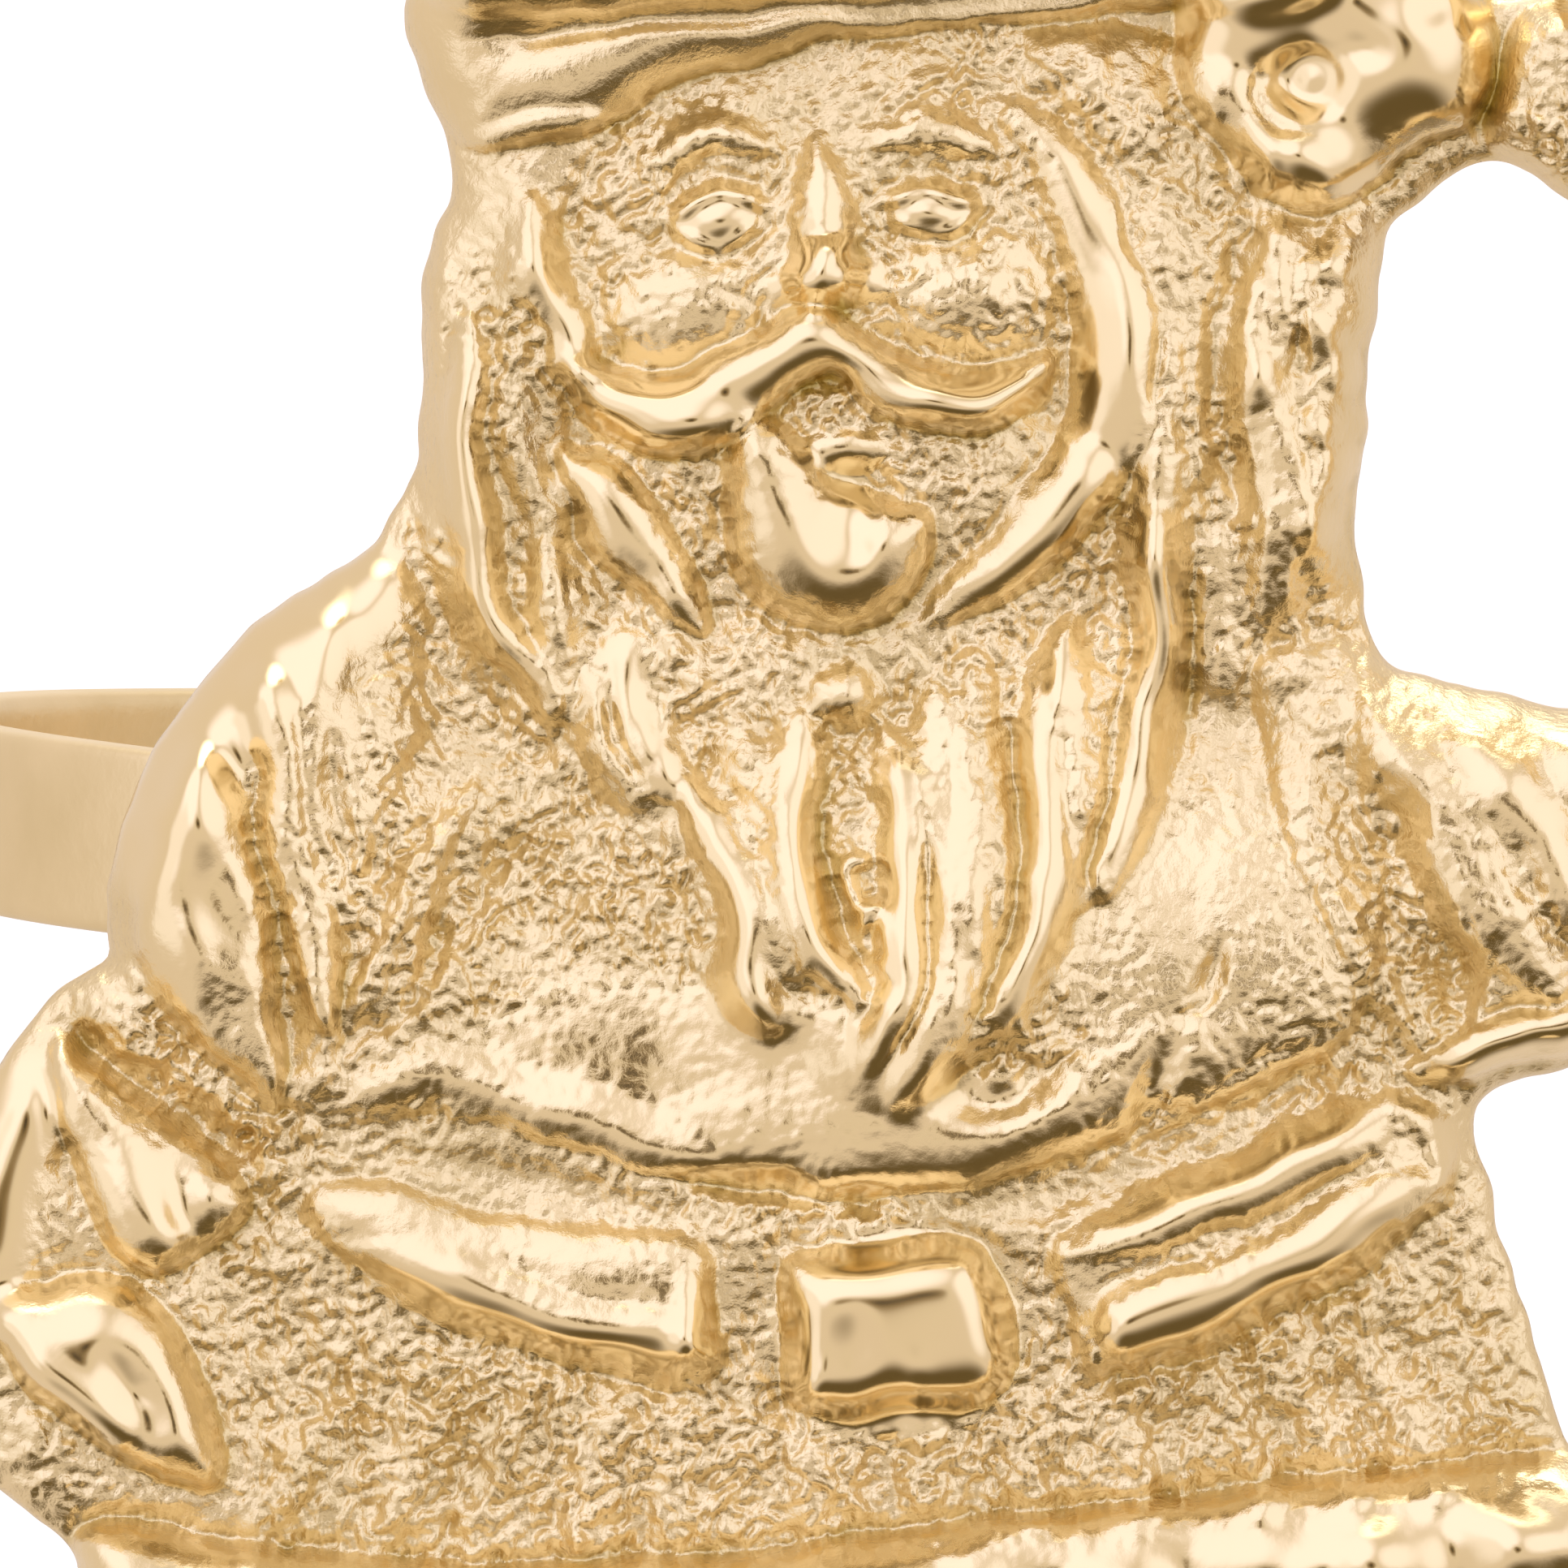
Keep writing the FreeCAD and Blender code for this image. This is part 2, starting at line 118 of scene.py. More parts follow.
FLOOR_RADIUS = 12000.0
FLOOR_GAP = 0.05
FLOOR_SIDES = 96
floor_level = cad_box[0][2] / MM - FLOOR_GAP
floor_turn = np.linspace(0.0, 2.0 * math.pi, FLOOR_SIDES, endpoint=False)
floor_points = np.stack([np.cos(floor_turn), np.sin(floor_turn), 0.0 * floor_turn], 1) * FLOOR_RADIUS
floor_points[:, 2] = floor_level
pale_floor = plain_material("pale_floor", (0.9, 0.9, 0.9), 0.8)
floor = mesh_object("floor", floor_points, [list(range(FLOOR_SIDES))], pale_floor)
floor.visible_glossy = False

world = bpy.data.worlds.new("studio")
bpy.context.scene.world = world
world.use_nodes = True
nodes, links = world.node_tree.nodes, world.node_tree.links
nodes.clear()
output = nodes.new("ShaderNodeOutputWorld")
shown = nodes.new("ShaderNodeBackground")
shown.inputs["Color"].default_value = (1.0, 1.0, 1.0, 1.0)
room = nodes.new("ShaderNodeBackground")
mix = nodes.new("ShaderNodeMixShader")
path_kind = nodes.new("ShaderNodeLightPath")
links.new(path_kind.outputs["Is Camera Ray"], mix.inputs["Fac"])
links.new(room.outputs[0], mix.inputs[1])
links.new(shown.outputs[0], mix.inputs[2])
links.new(mix.outputs[0], output.inputs["Surface"])
coordinate = nodes.new("ShaderNodeTexCoord")


def glow(direction, spread_from, spread_to):
    """1 near a direction of the room, falling to 0: the cosine to it, read between two limits."""
    dot = nodes.new("ShaderNodeVectorMath")
    dot.operation = "DOT_PRODUCT"
    dot.inputs[1].default_value = Vector(direction).normalized()
    links.new(coordinate.outputs["Generated"], dot.inputs[0])
    span = nodes.new("ShaderNodeMapRange")
    span.interpolation_type = "SMOOTHSTEP"
    span.inputs["From Min"].default_value = spread_from
    span.inputs["From Max"].default_value = spread_to
    links.new(dot.outputs["Value"], span.inputs["Value"])
    return span.outputs["Result"]


def tinted(so_far, factor, colour):
    """The colour of the room so far, mixed towards another by a factor."""
    blend = nodes.new("ShaderNodeMix")
    blend.data_type = "RGBA"
    blend.inputs["B"].default_value = (*colour, 1.0)
    links.new(factor, blend.inputs["Factor"])
    links.new(so_far, blend.inputs["A"])
    return blend.outputs["Result"]


# Each patch of the room has a direction from the object, the two cosines between which it fades in,
# and a colour: three softboxes, the dark table, the ceiling lamp, and the dim space round the camera.
ROOM_COLOUR = (0.84, 0.735, 0.69)
ROOM_PATCHES = (
    ((-0.60, -0.55, 0.6), 0.60, 0.86, (1.30, 1.25, 1.52)),
    ((0.80, -0.50, 0.40), 0.74, 0.92, (1.22, 1.17, 1.36)),
    ((-0.9, -0.35, -0.1), 0.86, 0.97, (1.12, 1.06, 1.18)),
    ((0.2, -0.22, -1.0), 0.58, 0.95, (0.14, 0.10, 0.045)),
    ((0.0, 0.3, 1.0), 0.86, 0.98, (2.8, 2.8, 2.8)),
    ((0.0, -1.0, -0.02), 0.90, 0.985, (0.85, 0.75, 0.69)),
    (towards_camera, 0.976, 0.9915, (0.26, 0.18, 0.085)),
    (towards_camera, 0.9955, 0.9985, (0.03, 0.018, 0.01)),
)
bare_room = nodes.new("ShaderNodeRGB")
bare_room.outputs["Color"].default_value = (*ROOM_COLOUR, 1.0)
room_colour = bare_room.outputs["Color"]
for direction, fades_from, fades_to, colour in ROOM_PATCHES:
    room_colour = tinted(room_colour, glow(direction, fades_from, fades_to), colour)
links.new(room_colour, room.inputs["Color"])

# ---- Band --------------------------------------------------------------------------------------
# A plain ring turned from tube, with soft edges, tumbled to a satin finish and brazed on behind the
# figure. It is the first piece in the pale gold plate that all of them share: a polished metal, dulled
# where the cast or tumbled skin has kept its pits.
GOLD_BRIGHT = (0.90, 0.74, 0.44)
# The deep gold is a random darker tone of the plate and also the painted shade of the hollows.
GOLD_DEEP_TONE_AND_SHADE = (0.52, 0.40, 0.13)


def cast_skin_group():
    """Cast metal skin: noise at two sizes, faded by a polish value, as height, tone and roughness. A
    hollow value darkens the colour towards the deep gold as painted shade.
    """
    group = bpy.data.node_groups.new("cast_skin", "ShaderNodeTree")
    for name, kind, value in (
        ("Polish", "NodeSocketFloat", 0.0),
        # Hollow is the painted shade of the recesses.
        ("Hollow", "NodeSocketFloat", 0.0),
        ("Grain", "NodeSocketFloat", 3000.0),
        ("Bright", "NodeSocketColor", (*GOLD_BRIGHT, 1.0)),
        ("Deep", "NodeSocketColor", (*GOLD_DEEP_TONE_AND_SHADE, 1.0)),
        ("Smooth roughness", "NodeSocketFloat", 0.14),
        ("Rough roughness", "NodeSocketFloat", 0.34),
    ):
        socket = group.interface.new_socket(name, in_out="INPUT", socket_type=kind)
        socket.default_value = value
    for name, kind in (
        ("Color", "NodeSocketColor"),
        ("Roughness", "NodeSocketFloat"),
        ("Height", "NodeSocketFloat"),
    ):
        group.interface.new_socket(name, in_out="OUTPUT", socket_type=kind)
    inside, wire = group.nodes, group.links
    given = inside.new("NodeGroupInput")
    result = inside.new("NodeGroupOutput")
    place = inside.new("ShaderNodeTexCoord")
    fine = inside.new("ShaderNodeTexNoise")
    fine.inputs["Detail"].default_value = 3.0
    fine.inputs["Roughness"].default_value = 0.6
    wire.new(place.outputs["Object"], fine.inputs["Vector"])
    wire.new(given.outputs["Grain"], fine.inputs["Scale"])
    broad = inside.new("ShaderNodeTexNoise")
    broad.inputs["Scale"].default_value = 260.0
    broad.inputs["Detail"].default_value = 4.0
    wire.new(place.outputs["Object"], broad.inputs["Vector"])
    dull = inside.new("ShaderNodeMath")
    dull.operation = "SUBTRACT"
    dull.inputs[0].default_value = 1.0
    wire.new(given.outputs["Polish"], dull.inputs[1])
    height = inside.new("ShaderNodeMath")
    height.operation = "MULTIPLY"
    wire.new(fine.outputs["Fac"], height.inputs[0])
    wire.new(dull.outputs[0], height.inputs[1])
    wire.new(height.outputs[0], result.inputs["Height"])
    rough = inside.new("ShaderNodeMix")
    wire.new(dull.outputs[0], rough.inputs["Factor"])
    wire.new(given.outputs["Smooth roughness"], rough.inputs["A"])
    wire.new(given.outputs["Rough roughness"], rough.inputs["B"])
    varied = inside.new("ShaderNodeMath")
    varied.operation = "MULTIPLY_ADD"
    varied.inputs[1].default_value = 0.10
    wire.new(broad.outputs["Fac"], varied.inputs[0])
    wire.new(rough.outputs["Result"], varied.inputs[2])
    wire.new(varied.outputs[0], result.inputs["Roughness"])
    tone = inside.new("ShaderNodeMapRange")
    tone.inputs["From Min"].default_value = 0.35
    tone.inputs["From Max"].default_value = 0.8
    tone.inputs["To Max"].default_value = 0.3
    wire.new(broad.outputs["Fac"], tone.inputs["Value"])
    shade = inside.new("ShaderNodeMath")
    shade.operation = "MULTIPLY"
    wire.new(tone.outputs["Result"], shade.inputs[0])
    wire.new(dull.outputs[0], shade.inputs[1])
    # The deep gold comes from the random tone and from the painted shade of the hollows, whichever is
    # more.
    tone_and_painted_shade = inside.new("ShaderNodeMath")
    tone_and_painted_shade.operation = "MAXIMUM"
    wire.new(shade.outputs[0], tone_and_painted_shade.inputs[0])
    wire.new(given.outputs["Hollow"], tone_and_painted_shade.inputs[1])
    colour = inside.new("ShaderNodeMix")
    colour.data_type = "RGBA"
    wire.new(tone_and_painted_shade.outputs[0], colour.inputs["Factor"])
    wire.new(given.outputs["Bright"], colour.inputs["A"])
    wire.new(given.outputs["Deep"], colour.inputs["B"])
    wire.new(colour.outputs["Result"], result.inputs["Color"])
    return group


cast_skin = cast_skin_group()


def gold(name, polish, grain, bump, smooth, rough):
    """A gold finish with a grain of so many pits to a metre and a bump in millimetres. Without a number
    for polish, the mesh's polish and hollow attributes give it; the hollow one is painted shade."""
    material = bpy.data.materials.new(name)
    material.use_nodes = True
    tree = material.node_tree
    shader = tree.nodes["Principled BSDF"]
    shader.inputs["Metallic"].default_value = 1.0
    skin = tree.nodes.new("ShaderNodeGroup")
    skin.node_tree = cast_skin
    skin.inputs["Grain"].default_value = grain
    skin.inputs["Smooth roughness"].default_value = smooth
    skin.inputs["Rough roughness"].default_value = rough
    if polish is None:
        for socket in ("Polish", "Hollow"):
            attribute = tree.nodes.new("ShaderNodeAttribute")
            attribute.attribute_name = socket.lower()
            tree.links.new(attribute.outputs["Fac"], skin.inputs[socket])
    else:
        skin.inputs["Polish"].default_value = polish
    tree.links.new(skin.outputs["Color"], shader.inputs["Base Color"])
    tree.links.new(skin.outputs["Roughness"], shader.inputs["Roughness"])
    pitting = tree.nodes.new("ShaderNodeBump")
    pitting.inputs["Distance"].default_value = bump * MM
    pitting.inputs["Strength"].default_value = 1.0
    tree.links.new(skin.outputs["Height"], pitting.inputs["Height"])
    tree.links.new(pitting.outputs["Normal"], shader.inputs["Normal"])
    return material


AROUND_BAND = 720
ACROSS_BAND = 96
band_low, band_high = (np.array(corner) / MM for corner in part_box("ring_band"))
band_outer = (band_high[0] - band_low[0]) / 2
band_bore = frame["record"]["mounts"][0]["dims"]["r_mm"]
band_half = (band_high[2] - band_low[2]) / 2


def ring_surface(bore, outer, half, squareness, around, across):
    """A ring: a superellipse section, squarer in its height than in its thickness, carried round the
    axis. It wanders by hundredths of a millimetre on the way, as tumbled metal does."""
    turn = np.linspace(0.0, 2.0 * math.pi, around, endpoint=False)[:, None]
    section = np.linspace(0.0, 2.0 * math.pi, across, endpoint=False)[None, :]
    c, s = np.cos(section), np.sin(section)
    middle, wall = (bore + outer) / 2, (outer - bore) / 2
    radius = middle + wall * np.sign(c) * np.abs(c) ** (2.0 / squareness)
    height = half * np.sign(s) * np.abs(s) ** (2.0 / (2.2 * squareness))
    radius = radius + 0.015 * np.sin(5 * turn + 1.0) + 0.010 * np.sin(11 * turn + 2.0 * s)
    height = height + 0.02 * np.sin(7 * turn + 0.5) * np.sign(s)
    points = np.stack([radius * np.cos(turn), radius * np.sin(turn), height + 0 * turn], -1)
    i = np.arange(around)[:, None]
    j = np.arange(across)[None, :]
    next_i, next_j = (i + 1) % around, (j + 1) % across
    corners = [i * across + j, next_i * across + j, next_i * across + next_j, i * across + next_j]
    return points.reshape(-1, 3), np.stack([corner.ravel() for corner in corners], 1)


band_points, band_faces = ring_surface(band_bore, band_outer, band_half, 5.0, AROUND_BAND, ACROSS_BAND)
band_gold = gold("band_gold", polish=0.0, grain=2600.0, bump=0.02, smooth=0.3, rough=0.33)
band = mesh_object("band", band_points, band_faces.tolist(), band_gold)
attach(band, "root")
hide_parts("ring_band")

# ---- Braze -------------------------------------------------------------------------------------
# Four beads of brass filler join the band to the flat back of the casting: one in the wedge at each
# side, and one along each rim. They ran in hot, so they are smooth, and were plated with the rest.
braze_gold = gold("braze_gold", polish=0.5, grain=1800.0, bump=0.03, smooth=0.22, rough=0.4)
for name in ("braze_fillet_left", "braze_fillet_right", "braze_fillet_top", "braze_fillet_bottom"):
    fillet = frame["nodes"][name]
    fillet.data.materials.clear()
    fillet.data.materials.append(braze_gold)

# ---- Figure: the sheet that the relief is worked on ---------------------------------------------
# The figure is one brass casting with a flat back. Its relief is a height above that back, worked on
# a fine grid that lies across (U) and up (V) the figure, as a modeller works a wax on a slab. Polish
# runs from 0, cast, to 1, bright, and coarse says how much of the cast grain a place keeps.
GRID = 0.07
U_LINE = np.arange(-24.0, 25.0, GRID)
V_LINE = np.arange(-27.5, 31.5, GRID)
U, V = np.meshgrid(U_LINE, V_LINE)
PLATE = 1.5
relief = np.full(U.shape, PLATE)
polish = np.zeros(U.shape)
coarse = np.ones(U.shape)


def grains(across, up, seed, turn=0.0):
    """Random numbers from -1 to 1 on a lattice of that spacing, turned by an angle in degrees, and
    blended smoothly between its points."""
    table = np.random.default_rng(seed).uniform(-1.0, 1.0, (256, 256))
    c, s = math.cos(math.radians(turn)), math.sin(math.radians(turn))
    a, b = (U * c + V * s) / across + 900.0, (V * c - U * s) / up + 900.0
    i, j = a.astype(int), b.astype(int)
    a, b = a - i, b - j
    a, b = a * a * (3 - 2 * a), b * b * (3 - 2 * b)
    i, j, next_i, next_j = i % 256, j % 256, (i + 1) % 256, (j + 1) % 256
    low = table[j, i] * (1 - a) + table[j, next_i] * a
    return low * (1 - b) + (table[next_j, i] * (1 - a) + table[next_j, next_i] * a) * b


# A hand never draws a true line: every outline and stroke wanders by about a tenth of a millimetre.
WANDER = 0.16
TREMOR = 0.07
hand_u = U + WANDER * grains(1.7, 1.7, 1, 20) + TREMOR * grains(0.7, 0.7, 2, 50)
hand_v = V + WANDER * grains(1.7, 1.7, 3, 35) + TREMOR * grains(0.7, 0.7, 4, 65)


PATH_STEPS = 8


def smooth_path(points, closed=False):
    """A smooth line through the points: a Catmull-Rom cubic between each pair of neighbours."""
    p = np.array(points, float)
    if closed:
        p = np.concatenate([p[-1:], p, p[:2]])
    else:
        p = np.concatenate([2 * p[:1] - p[1:2], p, 2 * p[-1:] - p[-2:-1]])
    t = np.linspace(0.0, 1.0, PATH_STEPS, endpoint=False)[None, :, None]
    a, b, c, d = (p[k : len(p) - 3 + k, None, :] for k in range(4))
    square = (2 * a - 5 * b + 4 * c - d) * t**2
    cube = (3 * b - a - 3 * c + d) * t**3
    line = (0.5 * (2 * b + (c - a) * t + square + cube)).reshape(-1, 2)
    return np.concatenate([line, line[:1] if closed else p[-2:-1]])


def near(path, reach):
    """For the grid within reach of a path: its window of rows and columns, and each point's distance
    from the path, place along it from 0 to 1, and side of it."""
    low, high = path.min(0) - reach, path.max(0) + reach
    rows = slice(*np.searchsorted(V_LINE, (low[1], high[1])))
    cols = slice(*np.searchsorted(U_LINE, (low[0], high[0])))
    x, y = hand_u[rows, cols], hand_v[rows, cols]
    best = np.full(x.shape, 1e9)
    along = np.zeros(x.shape)
    side = np.ones(x.shape)
    lengths = np.hypot(*np.diff(path, axis=0).T)
    starts = np.concatenate([[0.0], np.cumsum(lengths)])
    for k, (first, second) in enumerate(zip(path[:-1], path[1:])):
        run = second - first
        dx, dy = x - first[0], y - first[1]
        t = np.clip((dx * run[0] + dy * run[1]) / (lengths[k] ** 2 + 1e-12), 0.0, 1.0)
        distance = np.hypot(dx - t * run[0], dy - t * run[1])
        closer = distance < best
        best = np.where(closer, distance, best)
        along = np.where(closer, (starts[k] + t * lengths[k]) / starts[-1], along)
        side = np.where(closer, np.sign(run[0] * dy - run[1] * dx), side)
    return (rows, cols), best, along, side


LATTICE = 0.2
OUTLINE_MARGIN = 3.0


def depth_inside(points):
    """How far each grid point is inside a closed smooth outline, negative outside. The distance to the
    nearest side is worked out on a coarser lattice and read between its points."""
    path = smooth_path(points, closed=True)
    first_u, first_v = path.min(0) - OUTLINE_MARGIN
    line_u = np.arange(first_u, path[:, 0].max() + OUTLINE_MARGIN, LATTICE)
    line_v = np.arange(first_v, path[:, 1].max() + OUTLINE_MARGIN, LATTICE)
    x, y = np.meshgrid(line_u, line_v)
    nearest = np.full(x.shape, 1e9)
    inside = np.zeros(x.shape, bool)
    for first, second in zip(path[:-1], path[1:]):
        run = second - first
        dx, dy = x - first[0], y - first[1]
        t = np.clip((dx * run[0] + dy * run[1]) / (run @ run + 1e-12), 0.0, 1.0)
        nearest = np.minimum(nearest, np.hypot(dx - t * run[0], dy - t * run[1]))
        crosses = (first[1] > y) != (second[1] > y)
        if run[1] != 0.0:
            inside ^= crosses & (x < first[0] + run[0] * dy / run[1])
    lattice = np.where(inside, nearest, -nearest)
    a = np.clip((hand_u - first_u) / LATTICE, 0.0, len(line_u) - 1.001)
    b = np.clip((hand_v - first_v) / LATTICE, 0.0, len(line_v) - 1.001)
    i, j = a.astype(int), b.astype(int)
    a, b = a - i, b - j
    low = lattice[j, i] * (1 - a) + lattice[j, i + 1] * a
    return low * (1 - b) + (lattice[j + 1, i] * (1 - a) + lattice[j + 1, i + 1] * a) * b


def roundover(depth, edge, power=2.0):
    """0 at an edge rising to 1 at a distance inside it, along a quarter of a superellipse."""
    t = np.clip(depth / edge, 0.0, 1.0)
    return (1.0 - (1.0 - t) ** power) ** (1.0 / power)


GUTTER_WIDTH = 0.28
GUTTER_OUTSIDE = 0.1
STROKE_MARGIN = 0.8
STROKE_GUTTER = 0.2


def slab(points, rise, edge, power=2.0, shine=0.0, gutter=0.0, grain=None):
    """Raises everything inside a smooth outline, with a rounded edge, a shiny top, and a gutter chased
    along the outline: a groove with a bell-shaped section. It gives back the depth inside."""
    global relief, polish, coarse
    depth = depth_inside(points)
    shape = roundover(depth, edge, power)
    relief = relief + rise * shape
    if gutter:
        relief = relief - gutter * np.exp(-(((depth + GUTTER_OUTSIDE) / GUTTER_WIDTH) ** 2))
    if shine:
        polish = np.where(depth > 0, polish * (1 - shape) + shine * shape, polish)
    if grain is not None:
        coarse = np.where(depth > 0, grain, coarse)
    return depth


def swell(across, up, half_width, half_height, rise, turn=0.0, power=1.0, shine=0.0):
    """A rounded bump: rise times (1 - r squared) to a power, r measured in a turned ellipse. A negative
    rise makes a hollow, and no rise at all only polishes."""
    global relief, polish
    c, s = math.cos(math.radians(turn)), math.sin(math.radians(turn))
    x, y = hand_u - across, hand_v - up
    r = ((x * c + y * s) / half_width) ** 2 + ((y * c - x * s) / half_height) ** 2
    shape = np.clip(1.0 - r, 0.0, 1.0) ** power
    relief = relief + rise * shape
    if shine:
        polish = np.maximum(polish, shine * np.clip(shape * 3.0, 0.0, 1.0))


def strand(points, width, rise, power=0.7, tips=(0.25, 0.25), shine=0.0, gutter=0.0, skew=0.0):
    """A ridge along a smooth line, thinning at its tips: rise times (1 - q squared) to a power, q the
    distance over the half width. Skew makes one side steeper. A negative rise makes a groove, which is
    cut wider and shallower than it is given, and dull."""
    global relief, polish
    path = smooth_path(points)
    (rows, cols), distance, along, side = near(path, width * 0.5 * (1 + abs(skew)) + STROKE_MARGIN)
    thin = np.ones(along.shape)
    if tips[0]:
        thin = thin * np.clip(along / tips[0], 0.0, 1.0) ** 0.6
    if tips[1]:
        thin = thin * np.clip((1.0 - along) / tips[1], 0.0, 1.0) ** 0.6
    if rise < 0:
        width, rise = 1.25 * width, 0.55 * rise
    half = 0.5 * width * (0.25 + 0.75 * thin) * (1.0 + skew * side)
    q = np.clip(distance / half, 0.0, 1.0)
    shape = (1.0 - q**2) ** power * (0.15 + 0.85 * thin)
    relief[rows, cols] += rise * shape
    if gutter:
        relief[rows, cols] -= gutter * np.exp(-(((distance - half) / STROKE_GUTTER) ** 2)) * thin
    if shine > 0:
        polish[rows, cols] = np.maximum(polish[rows, cols], shine * np.clip(2.2 * (1 - q) * thin, 0, 1))
    elif rise < 0:
        polish[rows, cols] *= 1.0 - 0.5 * np.clip(1.5 * (1 - q), 0, 1)


def lock(points, width, rise, shine=0.9, tips=(0.2, 0.25)):
    """A lock of hair or a fold: a soft broad bank with a firm polished crest along it."""
    strand(points, 2.2 * width, 0.55 * rise, 1.6, tips, 0.35 * shine)
    strand(points, 1.45 * width, 0.50 * rise, 1.3, tips, shine)


SILHOUETTE = [
    (0.0, 30.0), (-4.6, 28.4), (-7.8, 25.2), (-9.3, 22.2), (-9.3, 20.2), (-8.6, 18.4), (-8.8, 17.3),
    (-9.4, 15.8), (-9.8, 12.8), (-10.1, 10.7), (-11.5, 8.8), (-14.2, 7.3), (-16.5, 5.0),
    (-17.6, 2.7), (-18.0, 0.5), (-18.1, -0.4), (-19.4, -1.2), (-21.0, -3.0), (-22.3, -6.0),
    (-22.6, -9.3), (-21.9, -12.0), (-20.7, -13.3), (-19.7, -14.4), (-19.8, -16.4), (-18.8, -18.1),
    (-15.2, -18.9), (-14.3, -20.4), (-14.7, -22.6), (-15.2, -24.4), (-13.8, -25.9), (-9.4, -26.3),
    (-4.2, -26.2), (-1.3, -25.8), (0.0, -24.6), (1.3, -25.8), (4.2, -26.2), (9.4, -26.3),
    (13.8, -25.9), (15.2, -24.4), (14.7, -22.6), (14.3, -20.4), (14.9, -18.7), (16.8, -17.6),
    (17.2, -15.6), (16.0, -13.8), (15.2, -10.6), (14.6, -8.0), (14.2, -6.4), (14.8, -5.5),
    (16.6, -4.9), (19.6, -4.2), (22.0, -1.8), (23.2, 2.6), (23.2, 8.4), (22.9, 13.6), (23.8, 15.8),
    (23.9, 18.4), (23.0, 20.2), (23.4, 22.8), (22.6, 25.4), (20.6, 26.6), (18.9, 25.4),
    (17.9, 22.8), (17.4, 20.8), (16.3, 20.4), (15.6, 21.6), (13.6, 22.7), (11.2, 24.6), (8.0, 27.6),
    (4.2, 29.6),
]
ARM_GAP = [
    (13.2, 14.9), (14.2, 15.8), (16.2, 16.5), (17.4, 15.9), (18.5, 14.6), (18.9, 11.0), (18.8, 6.6),
    (18.3, 4.3), (17.0, 3.5), (15.0, 4.1), (13.2, 4.5), (12.5, 5.2), (12.3, 6.6), (12.4, 9.1),
    (12.9, 12.0),
]
edge_depth = np.minimum(depth_inside(SILHOUETTE), -depth_inside(ARM_GAP))

# The big forms first: belly, skirt, head and the round of the shoulders.
swell(-0.6, -5.5, 15.0, 12.5, 1.15)
swell(0.0, 13.5, 10.5, 9.5, 0.85)
swell(-13.8, 1.5, 5.5, 7.5, 0.55)
swell(14.5, -0.5, 6.5, 6.0, 0.45)

# ---- Coat --------------------------------------------------------------------------------------
# The coat is part of the casting, so it is brass like the rest. It swells smoothly over the belly and
# keeps the cast grain on the skirt, with soft folds at the belt and pleats that fan down to the hem.
JACKET = [
    (-9.0, 8.0), (-12.6, 1.0), (-13.8, -4.4), (-11.6, -4.3), (-8.2, -5.0), (-5.4, -5.9),
    (-2.6, -6.6), (0.0, -6.8), (2.3, -6.6), (4.8, -6.1), (7.1, -5.4), (9.4, -4.7), (11.6, -3.6),
    (12.4, 1.0), (9.6, 8.0),
]
JACKET_RISE = 0.55
under_beard = np.clip((3.5 - V) / 6.0, 0.0, 1.0)
clear_of_sleeve = np.clip((U + 7.0) / 6.0, 0.3, 1.0)
relief = relief + JACKET_RISE * roundover(depth_inside(JACKET), 1.6) * under_beard * clear_of_sleeve
swell(-3.0, -4.2, 7.0, 2.6, 0.0, turn=-14.0, shine=0.8)
swell(-0.2, -5.3, 7.0, 1.5, 0.05, shine=0.75)
swell(8.4, -1.6, 3.6, 3.8, 0.20, turn=20.0, shine=0.35)
swell(5.6, -4.6, 4.4, 1.0, 0.10, turn=17.0, shine=0.7)
strand([(-12.4, -3.7), (-10.4, -3.5), (-8.0, -4.2), (-5.4, -5.3), (-3.4, -6.1)],
       1.9, 0.26, power=1.4, tips=(0.3, 0.3), shine=0.7)
strand([(-10.6, -1.4), (-9.4, 0.6), (-7.8, 2.2)], 0.9, -0.45, power=1.0, tips=(0.3, 0.3))
strand([(-12.6, -2.8), (-10.6, -1.2), (-9.6, 1.6)], 0.6, -0.40, power=0.9, tips=(0.3, 0.3))
strand([(-9.0, 3.6), (-10.6, 1.0), (-12.2, -2.0)], 0.8, 0.30, power=1.0, tips=(0.3, 0.3))
strand([(1.6, -7.2), (4.4, -6.9), (7.4, -6.2), (10.0, -5.3), (11.4, -4.6)],
       1.3, -0.42, power=1.0, tips=(0.3, 0.1))
strand([(-11.6, -5.2), (-8.6, -6.0), (-5.6, -6.9), (-2.6, -7.3)], 1.0, -0.24, power=1.2)
swell(3.0, -4.4, 1.9, 1.0, -0.42, turn=8.0)
swell(3.0, -4.2, 0.7, 0.5, 0.30, turn=30.0)
swell(6.8, -4.6, 0.5, 1.4, -0.30, turn=-24.0)
swell(-2.9, -6.5, 2.1, 0.45, -0.40, turn=-8.0)
swell(-0.4, -6.9, 0.8, 0.35, -0.32)
swell(8.0, -2.2, 0.4, 1.3, -0.22, turn=-30.0)
for pleat in (-15.5, -12.6, -10.2, -7.6, -5.4, -2.0, 0.8, 3.2, 5.8, 8.6, 10.8, 12.9):
    strand([(pleat * 0.80, -10.6), (pleat * 0.92, -12.6), (pleat, -15.2)],
           1.4, 0.20, power=1.3, tips=(0.5, 0.05))

